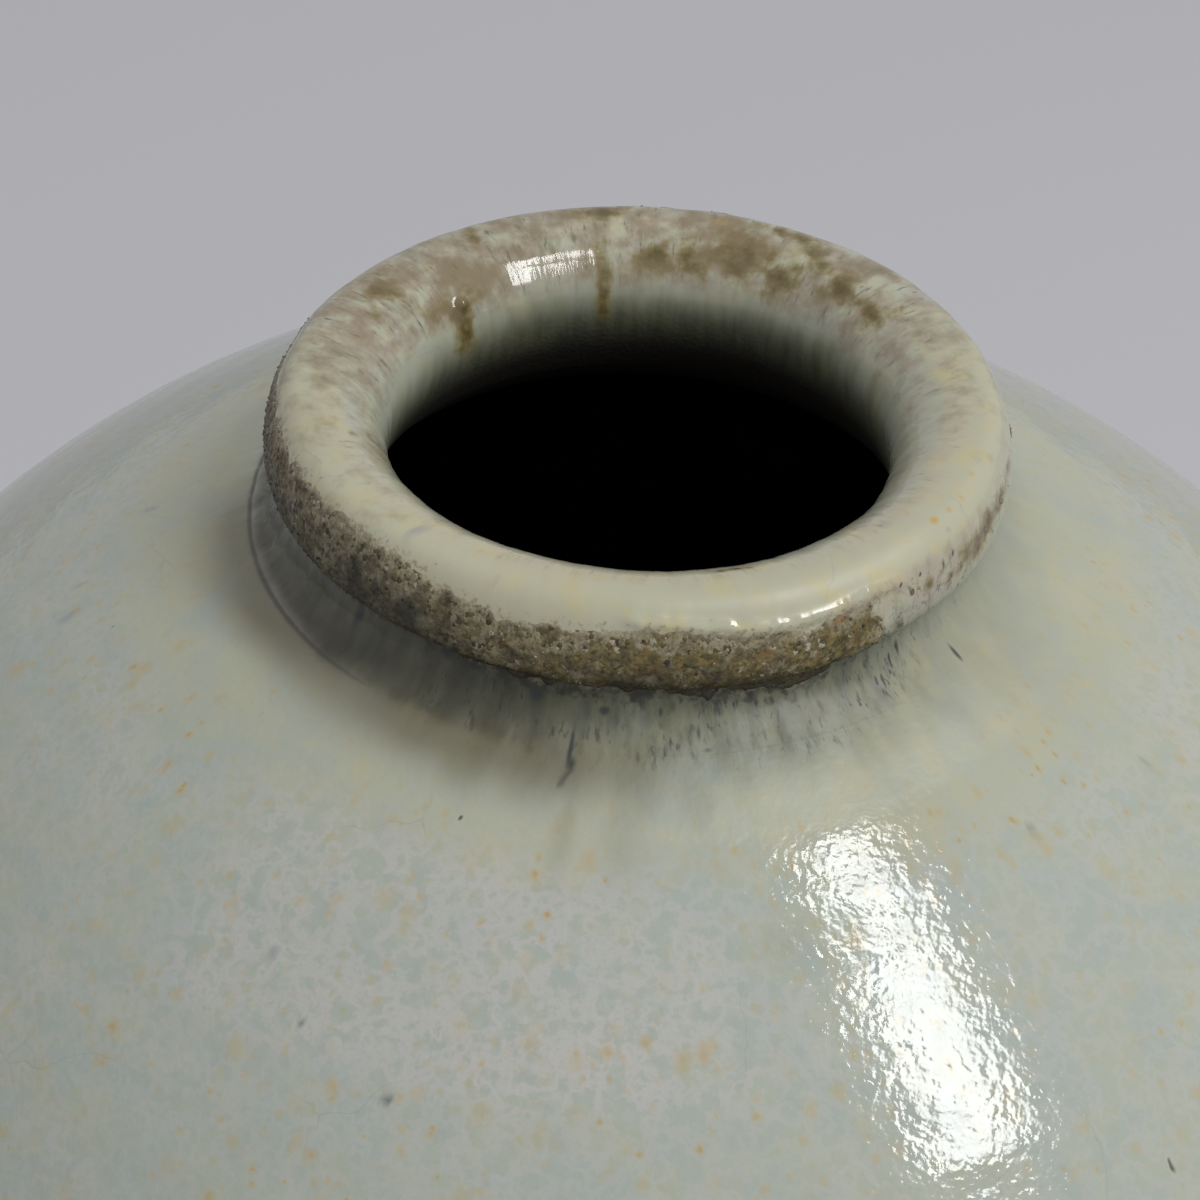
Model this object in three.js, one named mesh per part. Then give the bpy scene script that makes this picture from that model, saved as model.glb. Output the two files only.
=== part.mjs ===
// A globular ash-glazed stoneware jar with a short neck and a thick rolled lip, in millimetres, +Z up.
// The origin is the centre of the foot's resting face. The jar is fired clay, so nothing on it moves.
// It is modelled as its maker joins it, section by section: a foot ring, a floor slab, two thrown bowls
// met at the belly, a neck collar and a rolled lip. Each joint is a flat seam with a slip-filled key.
import * as THREE from "three";

// Driving dimensions, in millimetres.
const BELLY_RADIUS = 121.4;
const BELLY_HEIGHT = 118;
const WALL = 7.5;
const CREASE_RADIUS = 42.4;
const LIP_RADIUS = 40;
const LIP_LEVEL = 240.5;
const LIP_RISE = 8;
const CREST_RADIUS = 36.2;
const THROAT_RADIUS = 27.1;
const NECK_RADIUS = 38.3;
const LIP_SEAM = 238.1;
const FOOT_RADIUS = 50;
const FOOT_TOP_RADIUS = 52;
const FOOT_INNER_RADIUS = 42;
const FOOT_HEIGHT = 8;
const FOOT_WEAR = 0.9;
const FOOT_UNDERCUT = 0.2;
const FLOOR_TOP = 15;
const FLOOR_RADIUS = 46;
const CRUST_THICKNESS = 0.6;
const CRUST_EDGE_SHARE = 0.25;
const CRUST_BOTTOM = LIP_LEVEL - 1.7;
const CRUST_TOP = LIP_LEVEL + 5.6;

// How the curves between those dimensions bend: the wall's flare off the foot and its rise to the belly,
// the sweep of the neck and of the inner throat, and how square the lip's two shoulders are.
const WALL_FLARE_RADIUS = 91;
const WALL_FLARE_HEIGHT = 29;
const WALL_RISE = 47;
const NECK_SWEEP_IN = 2.2;
const NECK_SWEEP_UP = 1.4;
const NECK_STRAIGHT = 3;
const LIP_UNDERCUT_OUT = 0.3;
const LIP_UNDERCUT_UP = 0.6;
const LIP_STRAIGHT = 1;
const THROAT_START_RADIUS = 38;
const THROAT_SWEEP_IN = 7.1;
const THROAT_SWEEP_UP = 2.5;
const THROAT_STRAIGHT = 7;
const OUTER_LIP_POWER = 2.4;
const INNER_LIP_POWER = 2;
const FLOOR_CORNER_RISE = 3;

// The key of each joint: a raised rib on the lower section, in a groove of the upper one.
const KEY_HALF_WIDTH = 1.3;
const KEY_HEIGHT = 1.6;
const KEY_BEVEL = 0.5;
const SLIP_GAP = 0.3;

// Steps round the jar, along each bowl's wall, and along the small curves of the neck and lip.
const SEGMENTS = 48;
const WALL_STEPS = 9;
const NECK_STEPS = 3;
const LIP_STEPS = 6;

// Heights that follow from the driving dimensions.
const CREASE_HEIGHT = BELLY_HEIGHT + Math.sqrt(BELLY_RADIUS ** 2 - CREASE_RADIUS ** 2);
const LIP_TOP = LIP_LEVEL + LIP_RISE;
const INNER_RADIUS = BELLY_RADIUS - WALL;

const point = (radius, height) => new THREE.Vector2(radius, height);
const last = (points) => points[points.length - 1];

function bezier(start, startHandle, endHandle, end, steps) {
  return new THREE.CubicBezierCurve(start, startHandle, endHandle, end).getPoints(steps);
}

// Points of a sphere centred on the belly, between two radii of its upper half, from the bottom up.
function sphereArc(sphereRadius, fromRadius, toRadius, steps) {
  const from = Math.acos(fromRadius / sphereRadius);
  const to = Math.acos(toRadius / sphereRadius);
  const points = [];
  for (let i = 0; i <= steps; i++) {
    const angle = from + ((to - from) * i) / steps;
    points.push(point(sphereRadius * Math.cos(angle), BELLY_HEIGHT + sphereRadius * Math.sin(angle)));
  }
  return points;
}

// A quarter of a superellipse from its side up to its top. A power over 2 gives it a squarer shoulder.
function quarter(centre, halfWidth, rise, power, steps) {
  const points = [];
  for (let i = 0; i <= steps; i++) {
    const angle = (Math.PI / 2) * (i / steps);
    const out = Math.abs(Math.cos(angle)) ** (2 / power);
    const up = Math.abs(Math.sin(angle)) ** (2 / power);
    points.push(point(centre.x + halfWidth * out, centre.y + rise * up));
  }
  return points;
}

// The curve of the lower wall, from the foot up to the belly, moved inwards by inset.
function lowerWall(inset, steps) {
  const curve = new THREE.CubicBezierCurve(
    point(FOOT_TOP_RADIUS, FOOT_HEIGHT),
    point(WALL_FLARE_RADIUS, WALL_FLARE_HEIGHT),
    point(BELLY_RADIUS, BELLY_HEIGHT - WALL_RISE),
    point(BELLY_RADIUS, BELLY_HEIGHT),
  );
  return curve.getPoints(steps).map((p, i) => {
    const along = curve.getTangent(i / steps);
    return point(p.x - along.y * inset, p.y + along.x * inset);
  });
}

// The outside of the jar, from the foot to the lip's crest.
function outsideProfile() {
  const lipCentre = point(CREST_RADIUS, LIP_LEVEL);
  return [
    ...lowerWall(0, WALL_STEPS),
    ...sphereArc(BELLY_RADIUS, BELLY_RADIUS, CREASE_RADIUS, WALL_STEPS).slice(1),
    ...bezier(
      point(CREASE_RADIUS, CREASE_HEIGHT),
      point(CREASE_RADIUS - NECK_SWEEP_IN, CREASE_HEIGHT + NECK_SWEEP_UP),
      point(NECK_RADIUS, LIP_SEAM - NECK_STRAIGHT),
      point(NECK_RADIUS, LIP_SEAM),
      NECK_STEPS,
    ).slice(1),
    ...bezier(
      point(NECK_RADIUS, LIP_SEAM),
      point(NECK_RADIUS + LIP_UNDERCUT_OUT, LIP_SEAM + LIP_UNDERCUT_UP),
      point(LIP_RADIUS, LIP_LEVEL - LIP_STRAIGHT),
      point(LIP_RADIUS, LIP_LEVEL),
      NECK_STEPS,
    ).slice(1),
    ...quarter(lipCentre, LIP_RADIUS - CREST_RADIUS, LIP_RISE, OUTER_LIP_POWER, LIP_STEPS).slice(1),
  ];
}

// The inside of the jar, from the floor's centre to the lip's crest.
function insideProfile() {
  const lipCentre = point(CREST_RADIUS, LIP_LEVEL);
  const shoulder = sphereArc(INNER_RADIUS, INNER_RADIUS, THROAT_START_RADIUS, WALL_STEPS);
  const throatStart = last(shoulder);
  return [
    point(0, FLOOR_TOP),
    point(FLOOR_RADIUS, FLOOR_TOP),
    ...lowerWall(WALL, WALL_STEPS).filter((p) => p.y > FLOOR_TOP + FLOOR_CORNER_RISE),
    ...shoulder.slice(1),
    ...bezier(
      throatStart,
      point(throatStart.x - THROAT_SWEEP_IN, throatStart.y + THROAT_SWEEP_UP),
      point(THROAT_RADIUS, LIP_LEVEL - THROAT_STRAIGHT),
      point(THROAT_RADIUS, LIP_LEVEL),
      2 * NECK_STEPS,
    ).slice(1),
    ...quarter(lipCentre, THROAT_RADIUS - CREST_RADIUS, LIP_RISE, INNER_LIP_POWER, LIP_STEPS).slice(1),
  ];
}

const outside = outsideProfile();
const inside = insideProfile();

// The part of a rising profile between two heights, with its ends cut exactly there.
function between(profile, low, high) {
  const cut = [];
  const crossing = (a, b, height) => {
    const share = (height - a.y) / (b.y - a.y);
    return point(a.x + (b.x - a.x) * share, height);
  };
  profile.forEach((p, i) => {
    const before = profile[i - 1];
    if (before && before.y < low && p.y > low) cut.push(crossing(before, p, low));
    if (p.y >= low && p.y <= high) cut.push(p);
    if (before && before.y < high && p.y > high) cut.push(crossing(before, p, high));
  });
  return cut;
}

// A joint's line across the wall, from the outside in. The lower section carries a rib, and the upper
// one has a groove that leaves room for slip on every side of it but the flat seam.
function keyLine(height, outerRadius, innerRadius, room) {
  const middle = (outerRadius + innerRadius) / 2;
  const wide = KEY_HALF_WIDTH + room;
  const narrow = wide - KEY_BEVEL;
  return [
    point(middle + wide, height),
    point(middle + narrow, height + KEY_HEIGHT + room),
    point(middle - narrow, height + KEY_HEIGHT + room),
    point(middle - wide, height),
  ];
}

// A thrown section of the wall between two seams, as a closed profile that runs up its outside and
// down its inside. The floor's own centre point is left out.
function wallSection(low, high) {
  const outer = between(outside, low, high);
  const inner = between(inside, low, high).filter((p) => p.x > 0);
  const above = keyLine(high, last(outer).x, last(inner).x, 0);
  const below = keyLine(low, outer[0].x, inner[0].x, SLIP_GAP).reverse();
  return [...outer, ...above, ...inner.reverse(), ...below, outer[0]];
}

// The lip's outside and inside meet in one crest point, which is kept once.
function lipSection() {
  const outer = between(outside, LIP_SEAM, LIP_TOP);
  const inner = between(inside, LIP_SEAM, LIP_TOP);
  const below = keyLine(LIP_SEAM, outer[0].x, inner[0].x, SLIP_GAP).reverse();
  return [...outer, ...inner.reverse().slice(1), ...below, outer[0]];
}

// The floor slab carries the lower bowl on a key and stands on the foot ring's key.
function floorSection() {
  const edge = between(outside, FOOT_HEIGHT, FLOOR_TOP);
  return [
    point(0, FOOT_HEIGHT),
    ...keyLine(FOOT_HEIGHT, FOOT_TOP_RADIUS, FOOT_INNER_RADIUS, SLIP_GAP).reverse(),
    ...edge,
    ...keyLine(FLOOR_TOP, last(edge).x, FLOOR_RADIUS, 0),
    point(0, FLOOR_TOP),
  ];
}

// The foot ring: a flat resting face with worn edges, and a slightly undercut outside.
function footSection() {
  return [
    point(FOOT_INNER_RADIUS + FOOT_WEAR, 0),
    point(FOOT_RADIUS - FOOT_WEAR, 0),
    point(FOOT_RADIUS, FOOT_WEAR),
    point(FOOT_RADIUS - FOOT_UNDERCUT, FOOT_HEIGHT / 2),
    point(FOOT_TOP_RADIUS, FOOT_HEIGHT),
    ...keyLine(FOOT_HEIGHT, FOOT_TOP_RADIUS, FOOT_INNER_RADIUS, 0),
    point(FOOT_INNER_RADIUS, FOOT_HEIGHT),
    point(FOOT_INNER_RADIUS, FOOT_WEAR),
    point(FOOT_INNER_RADIUS + FOOT_WEAR, 0),
  ];
}

// The crust of kiln grit and melted ash that grips the lip's outer face, thickest in its middle.
function crustSection() {
  const face = between(outside, CRUST_BOTTOM, CRUST_TOP);
  const outwards = face.map((p, i) => {
    const ahead = face[Math.min(i + 1, face.length - 1)];
    const behind = face[Math.max(i - 1, 0)];
    const along = point(ahead.x - behind.x, ahead.y - behind.y).normalize();
    return point(along.y, -along.x);
  });
  const raised = (share) =>
    face.map((p, i) => {
      const body = Math.sqrt(Math.sin((Math.PI * i) / (face.length - 1)));
      const thickness = CRUST_THICKNESS * (CRUST_EDGE_SHARE + (1 - CRUST_EDGE_SHARE) * body);
      const rise = SLIP_GAP + share * thickness;
      return point(p.x + outwards[i].x * rise, p.y + outwards[i].y * rise);
    });
  const outer = raised(1);
  return [...outer, ...raised(0).reverse(), outer[0]];
}

// Finishes, in the colours that the fired surfaces have.
const ashGlaze = new THREE.MeshStandardMaterial({ color: 0xa3a596, roughness: 0.18, metalness: 0 });
const bareClay = new THREE.MeshStandardMaterial({ color: 0x8a6a4c, roughness: 0.85, metalness: 0 });
const grit = new THREE.MeshStandardMaterial({ color: 0x7c6c50, roughness: 0.7, metalness: 0 });

// Turns a closed profile about the jar's axis and stands it upright.
function turned(name, profile, material) {
  const mesh = new THREE.Mesh(new THREE.LatheGeometry(profile, SEGMENTS), material);
  mesh.name = name;
  mesh.rotation.x = Math.PI / 2;
  return mesh;
}

const jar = new THREE.Group();
jar.name = "ash_glazed_jar";
jar.add(
  turned("foot_ring", footSection(), bareClay),
  turned("floor_slab", floorSection(), ashGlaze),
  turned("lower_bowl", wallSection(FLOOR_TOP, BELLY_HEIGHT), ashGlaze),
  turned("upper_bowl", wallSection(BELLY_HEIGHT, CREASE_HEIGHT), ashGlaze),
  turned("neck_collar", wallSection(CREASE_HEIGHT, LIP_SEAM), ashGlaze),
  turned("rolled_lip", lipSection(), ashGlaze),
  turned("ash_crust", crustSection(), grit),
);

export default jar;
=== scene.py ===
"""Looks of a globular ash-glazed stoneware jar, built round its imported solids.

Each thrown section of the jar is turned from its profile by one Geometry Nodes tree, the wheel, and is then
shaped by hand: the lip wavers, glaze runs down the neck, and the crust of kiln grit stands in real relief.
The finish follows two coordinates that every turned surface carries: the angle round the jar, and run, the
distance along the wall from the crease at the foot of the neck, up over the lip and down the inside.
Lengths written with MM are in metres, and so are meshes, frame boxes and the studio. Plain lengths in hand
work, grains and finishes are in millimetres. Angles are in degrees, with 0 at +X, and -90 at the side that
the view faces.
"""
import logging
import math
from collections.abc import Callable
from dataclasses import dataclass, field
from enum import Enum
from itertools import product

import bpy
import numpy as np
from mathutils import Matrix, Vector


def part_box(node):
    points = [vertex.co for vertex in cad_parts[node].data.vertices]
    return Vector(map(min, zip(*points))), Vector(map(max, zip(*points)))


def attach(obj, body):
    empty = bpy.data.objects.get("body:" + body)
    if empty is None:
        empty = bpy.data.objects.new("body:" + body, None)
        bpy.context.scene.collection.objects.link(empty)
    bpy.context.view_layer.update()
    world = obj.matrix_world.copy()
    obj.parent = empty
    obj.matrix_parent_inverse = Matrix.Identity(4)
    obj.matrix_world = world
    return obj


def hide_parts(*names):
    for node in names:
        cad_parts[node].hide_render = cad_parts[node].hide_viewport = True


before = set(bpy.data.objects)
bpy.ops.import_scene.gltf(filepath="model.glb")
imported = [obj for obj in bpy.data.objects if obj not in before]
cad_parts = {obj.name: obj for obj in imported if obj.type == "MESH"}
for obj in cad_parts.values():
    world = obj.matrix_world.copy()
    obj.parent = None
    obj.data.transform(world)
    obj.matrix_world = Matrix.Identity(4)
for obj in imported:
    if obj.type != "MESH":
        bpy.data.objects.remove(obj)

log = logging.getLogger("ash_glazed_jar")
MM = 0.001
FLOW_RADIUS = 40.0 * MM
HARD_EDGE = math.radians(50.0)
IOR = 1.5
HASH_PRIMES = (73856093, 19349663, 83492791, 2654435761)
HASH_STEPS = ((15, 2246822519), (13, 3266489917))
HASH_WORD = 0xFFFFFFFF
HASH_SHARE = 0xFFFFFF
WELD_GAP = 0.002 * MM
Socket = bpy.types.NodeSocket
Outputs = bpy.types.NodeOutputs
Names = tuple[str, ...]
Pair = tuple[float, float]
Rows = tuple[tuple[float, ...], ...]


# Numbers that vary smoothly or in grains over a surface.


@dataclass(frozen=True)
class Grain:
    """Seeded noise on a lattice of cells of a size in millimetres, the same on every run."""

    cell: float
    seed: int

    def _hash(self, cells: np.ndarray, salt: int = 0) -> np.ndarray:
        """A number from 0 to 1 for each lattice cell.

        Args:
            cells: whole-number cell coordinates, shaped (n, 3).
            salt: a number that gives another draw for the same cells.

        Returns:
            One number from 0 to 1 for each cell.
        """
        x, y, z = (cells[:, axis].astype(np.int64) * HASH_PRIMES[axis] for axis in range(3))
        mixed = (x ^ y ^ z ^ ((self.seed + salt) * HASH_PRIMES[3])) & HASH_WORD
        for shift, factor in HASH_STEPS:
            mixed = ((mixed ^ (mixed >> shift)) * factor) & HASH_WORD
        return ((mixed ^ (mixed >> 16)) & HASH_SHARE) / HASH_SHARE

    def smooth(self, points: np.ndarray) -> np.ndarray:
        """Smooth noise from -1 to 1.

        Args:
            points: places to read it at, in metres, shaped (n, 3).

        Returns:
            One number for each place.
        """
        places = points / (self.cell * MM)
        base = np.floor(places).astype(np.int64)
        fade = smooth_step(0.0, 1.0, places - base)
        total = np.zeros(len(points))
        for corner in product((0, 1), repeat=3):
            share = np.where(np.array(corner), fade, 1.0 - fade).prod(axis=1)
            total += share * self._hash(base + np.array(corner))
        return 2.0 * total - 1.0

    def layered(self, points: np.ndarray, layers: int = 3) -> np.ndarray:
        """Smooth noise with finer noise on it, each layer half the size and half the height.

        Args:
            points: places to read it at, in metres.
            layers: how many sizes of noise are added.

        Returns:
            One number for each place, mostly from -1 to 1.
        """
        total = np.zeros(len(points))
        for layer in range(layers):
            finer = Grain(self.cell / 2**layer, self.seed + 17 * layer)
            total += finer.smooth(points) / 2**layer
        return total / (2.0 - 0.5 ** (layers - 1))

    def pebbles(self, points: np.ndarray) -> np.ndarray:
        """Round-backed grains packed side by side.

        Args:
            points: places to read them at, in metres.

        Returns:
            The height of the grain at each place, from 0 in the gaps to about 1 on the tallest.
        """
        places = points / (self.cell * MM)
        base = np.floor(places).astype(np.int64)
        nearest = np.full(len(points), 9.0)
        size = np.zeros(len(points))
        for offset in product((-1, 0, 1), repeat=3):
            cells = base + np.array(offset)
            centre = cells + np.stack([self._hash(cells, salt) for salt in (1, 2, 3)], axis=1)
            gap = np.linalg.norm(places - centre, axis=1)
            closer = gap < nearest
            nearest = np.where(closer, gap, nearest)
            size = np.where(closer, 0.45 + 0.55 * self._hash(cells, 4), size)
        return size * np.sqrt(np.clip(1.0 - (nearest / 0.85) ** 2, 0.0, 1.0))


def smooth_step(low: float, high: float, values: np.ndarray) -> np.ndarray:
    """Values eased from 0 at low to 1 at high."""
    share = np.clip((values - low) / (high - low), 0.0, 1.0)
    return share * share * (3.0 - 2.0 * share)


def band(values: np.ndarray, low: float, high: float, soft: float) -> np.ndarray:
    """1 between low and high, and fading to 0 over soft outside them."""
    return smooth_step(low - soft, low, values) * (1.0 - smooth_step(high, high + soft, values))


def bell(values: np.ndarray, centre: float, width: float) -> np.ndarray:
    """1 at centre, and falling away round it like a bell."""
    return np.exp(-(((values - centre) / width) ** 2))


def turn_between(angles: np.ndarray, centre: float) -> np.ndarray:
    """The turn from centre to each angle, in degrees from -180 to 180."""
    return (angles - centre + 180.0) % 360.0 - 180.0


def arc(angles: np.ndarray, start: float, stop: float, soft: float) -> np.ndarray:
    """1 on the arc from start to stop degrees, and fading to 0 over soft degrees beyond it."""
    half = (stop - start) / 2.0
    return 1.0 - smooth_step(half, half + soft, np.abs(turn_between(angles, start + half)))


def around(angles: np.ndarray, *stops: Pair) -> np.ndarray:
    """Values that change evenly round the jar, through the given (angle, value) stops."""
    turns, values = zip(*stops)
    return np.interp(angles, turns, values, period=360.0)


# The turned form.


def bezier(steps: int, *points: Pair) -> np.ndarray:
    """Points of a cubic Bezier curve.

    Args:
        steps: how many steps the curve is cut into.
        points: its start, two handles and end, each as (radius, height).

    Returns:
        The points, shaped (steps + 1, 2).
    """
    start, first, second, end = (np.array(point) for point in points)
    t = np.linspace(0.0, 1.0, steps + 1)[:, None]
    return start * (1 - t) ** 3 + 3 * first * t * (1 - t) ** 2 + 3 * second * t * t * (1 - t) + end * t**3


@dataclass(frozen=True)
class JarForm:
    """The sizes of the jar's profile. Those that the frame's boxes give are read from it."""

    belly_radius: float
    belly_height: float
    crease_radius: float
    crease_height: float
    lip_radius: float
    lip_seam: float
    lip_top: float
    foot_top_radius: float
    wall: float = 7.5 * MM
    lip_level: float = 240.5 * MM
    crest_radius: float = 36.2 * MM
    throat_radius: float = 27.1 * MM
    neck_radius: float = 38.3 * MM
    foot_height: float = 8.0 * MM
    foot_radius: float = 50.0 * MM
    foot_inner_radius: float = 42.0 * MM
    floor_top: float = 15.0 * MM
    floor_radius: float = 46.0 * MM
    throat_start_radius: float = 38.0 * MM
    outer_lip_power: float = 2.4

    @classmethod
    def from_frame(cls) -> "JarForm":
        """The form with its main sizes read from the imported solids."""
        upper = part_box("upper_bowl")
        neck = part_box("neck_collar")
        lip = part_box("rolled_lip")
        return cls(
            belly_radius=upper[1].x,
            belly_height=upper[0].z,
            crease_radius=neck[1].x,
            crease_height=neck[0].z,
            lip_radius=lip[1].x,
            lip_seam=lip[0].z,
            lip_top=lip[1].z,
            foot_top_radius=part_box("foot_ring")[1].x,
        )

    def lip_quarter(self, side: float, power: float, steps: int = 80) -> np.ndarray:
        """The lip's quarter round, from its side up to the crest.

        Args:
            side: the side's radius.
            power: 2 for an ellipse, more for a squarer shoulder.
            steps: how many steps the curve is cut into.

        Returns:
            The points, shaped (steps + 1, 2).
        """
        turn = np.linspace(0.0, math.pi / 2, steps + 1)
        out, up = np.abs(np.cos(turn)) ** (2 / power), np.abs(np.sin(turn)) ** (2 / power)
        radius = self.crest_radius + (side - self.crest_radius) * out
        return np.stack([radius, self.lip_level + (self.lip_top - self.lip_level) * up], axis=1)

    def lower_wall(self, inset: float, steps: int = 300) -> np.ndarray:
        """The wall from the foot up to the belly.

        Args:
            inset: how far the line lies inside the outer face.
            steps: how many steps the curve is cut into.

        Returns:
            The points, shaped (steps + 1, 2).
        """
        line = bezier(
            steps,
            (self.foot_top_radius, self.foot_height),
            (91.0 * MM, 29.0 * MM),
            (self.belly_radius, self.belly_height - 47.0 * MM),
            (self.belly_radius, self.belly_height),
        )
        along = np.gradient(line, axis=0)
        along /= np.linalg.norm(along, axis=1)[:, None]
        return line + inset * np.stack([-along[:, 1], along[:, 0]], axis=1)

    def dome(self, radius: float, end_radius: float, steps: int) -> np.ndarray:
        """The upper body from the belly to end_radius, on a sphere centred at the belly's height."""
        turn = np.linspace(0.0, math.acos(end_radius / radius), steps + 1)
        return np.stack([radius * np.cos(turn), self.belly_height + radius * np.sin(turn)], axis=1)


@dataclass
class TurnedPath:
    """The jar's whole profile as one line, from the foot, over the lip and down to the floor."""

    form: JarForm
    points: np.ndarray = field(init=False)
    runs: np.ndarray = field(init=False)
    top: int = field(init=False)

    def __post_init__(self) -> None:
        """Lays the line out and measures it from the crease."""
        form = self.form
        seam = (form.neck_radius, form.lip_seam)
        outside = [
            form.lower_wall(0.0),
            form.dome(form.belly_radius, form.crease_radius, 500)[1:],
            bezier(
                60,
                (form.crease_radius, form.crease_height),
                (form.crease_radius - 2.2 * MM, form.crease_height + 1.4 * MM),
                (form.neck_radius, form.lip_seam - 3.0 * MM),
                seam,
            )[1:],
            bezier(
                40,
                seam,
                (form.neck_radius + 0.3 * MM, form.lip_seam + 0.6 * MM),
                (form.lip_radius, form.lip_level - 1.0 * MM),
                (form.lip_radius, form.lip_level),
            )[1:],
            form.lip_quarter(form.lip_radius, form.outer_lip_power)[1:],
        ]
        low = form.lower_wall(form.wall)
        dome = form.dome(form.belly_radius - form.wall, form.throat_start_radius, 400)
        throat = (
            (dome[-1][0], dome[-1][1]),
            (dome[-1][0] - 7.1 * MM, dome[-1][1] + 2.5 * MM),
            (form.throat_radius, form.lip_level - 7.0 * MM),
            (form.throat_radius, form.lip_level),
        )
        inside = [
            np.array([[0.0, form.floor_top], [form.floor_radius, form.floor_top]]),
            low[low[:, 1] > form.floor_top + 3.0 * MM],
            dome[1:],
            bezier(60, *throat)[1:],
            form.lip_quarter(form.throat_radius, 2.0)[1:-1],
        ]
        self.points = np.concatenate(outside + [np.concatenate(inside)[::-1]])
        self.top = int(np.argmax(self.points[:, 1]))
        lengths = np.linalg.norm(np.diff(self.points, axis=0), axis=1)
        runs = np.concatenate([[0.0], np.cumsum(lengths)])
        crease = np.linalg.norm(self.points - (form.crease_radius, form.crease_height), axis=1)
        self.runs = runs - runs[int(np.argmin(crease))]

    def at(self, runs: np.ndarray) -> np.ndarray:
        """Points of the profile at the given runs, as (radius, height) rows."""
        return np.stack([np.interp(runs, self.runs, self.points[:, axis]) for axis in (0, 1)], axis=1)

    def normals(self, runs: np.ndarray) -> np.ndarray:
        """The direction out of the clay at each run.

        Args:
            runs: the runs, in metres.

        Returns:
            Unit directions, as (radius, height) rows.
        """
        reach = 0.15 * MM
        along = self.at(runs + reach) - self.at(runs - reach)
        along /= np.linalg.norm(along, axis=1)[:, None]
        return np.stack([along[:, 1], -along[:, 0]], axis=1)

    def crest(self) -> float:
        """The run of the lip's highest point."""
        return float(self.runs[self.top])

    def outer_run(self, height: float) -> float:
        """The run at which the outside reaches a height."""
        return float(np.interp(height, self.points[: self.top + 1, 1], self.runs[: self.top + 1]))

    def inner_run(self, height: float) -> float:
        """The run at which the inside reaches a height."""
        return float(np.interp(-height, -self.points[self.top :, 1], self.runs[self.top :]))


def spaced(*stops: float) -> np.ndarray:
    """Runs of a section's rings, from the first to the last.

    Args:
        stops: a run in metres, the ring spacing from it in millimetres, the next run, and so on.

    Returns:
        The runs in metres.
    """
    runs, steps = stops[::2], stops[1::2]
    parts = []
    for start, stop, step in zip(runs, runs[1:], steps):
        count = max(1, round(abs(stop - start) / (step * MM)))
        parts.append(np.linspace(start, stop, count, endpoint=False))
    return np.concatenate(parts + [[runs[-1]]])


# Node trees.


@dataclass(frozen=True)
class Tone:
    """A fired colour, in display red, green and blue from 0 to 255."""

    red: float
    green: float
    blue: float

    def colour(self) -> tuple[float, float, float, float]:
        """The same colour in the linear values that shaders take."""
        shares = [part / 255.0 for part in (self.red, self.green, self.blue)]
        return (*(s / 12.92 if s <= 0.04045 else ((s + 0.055) / 1.055) ** 2.4 for s in shares), 1.0)


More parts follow.
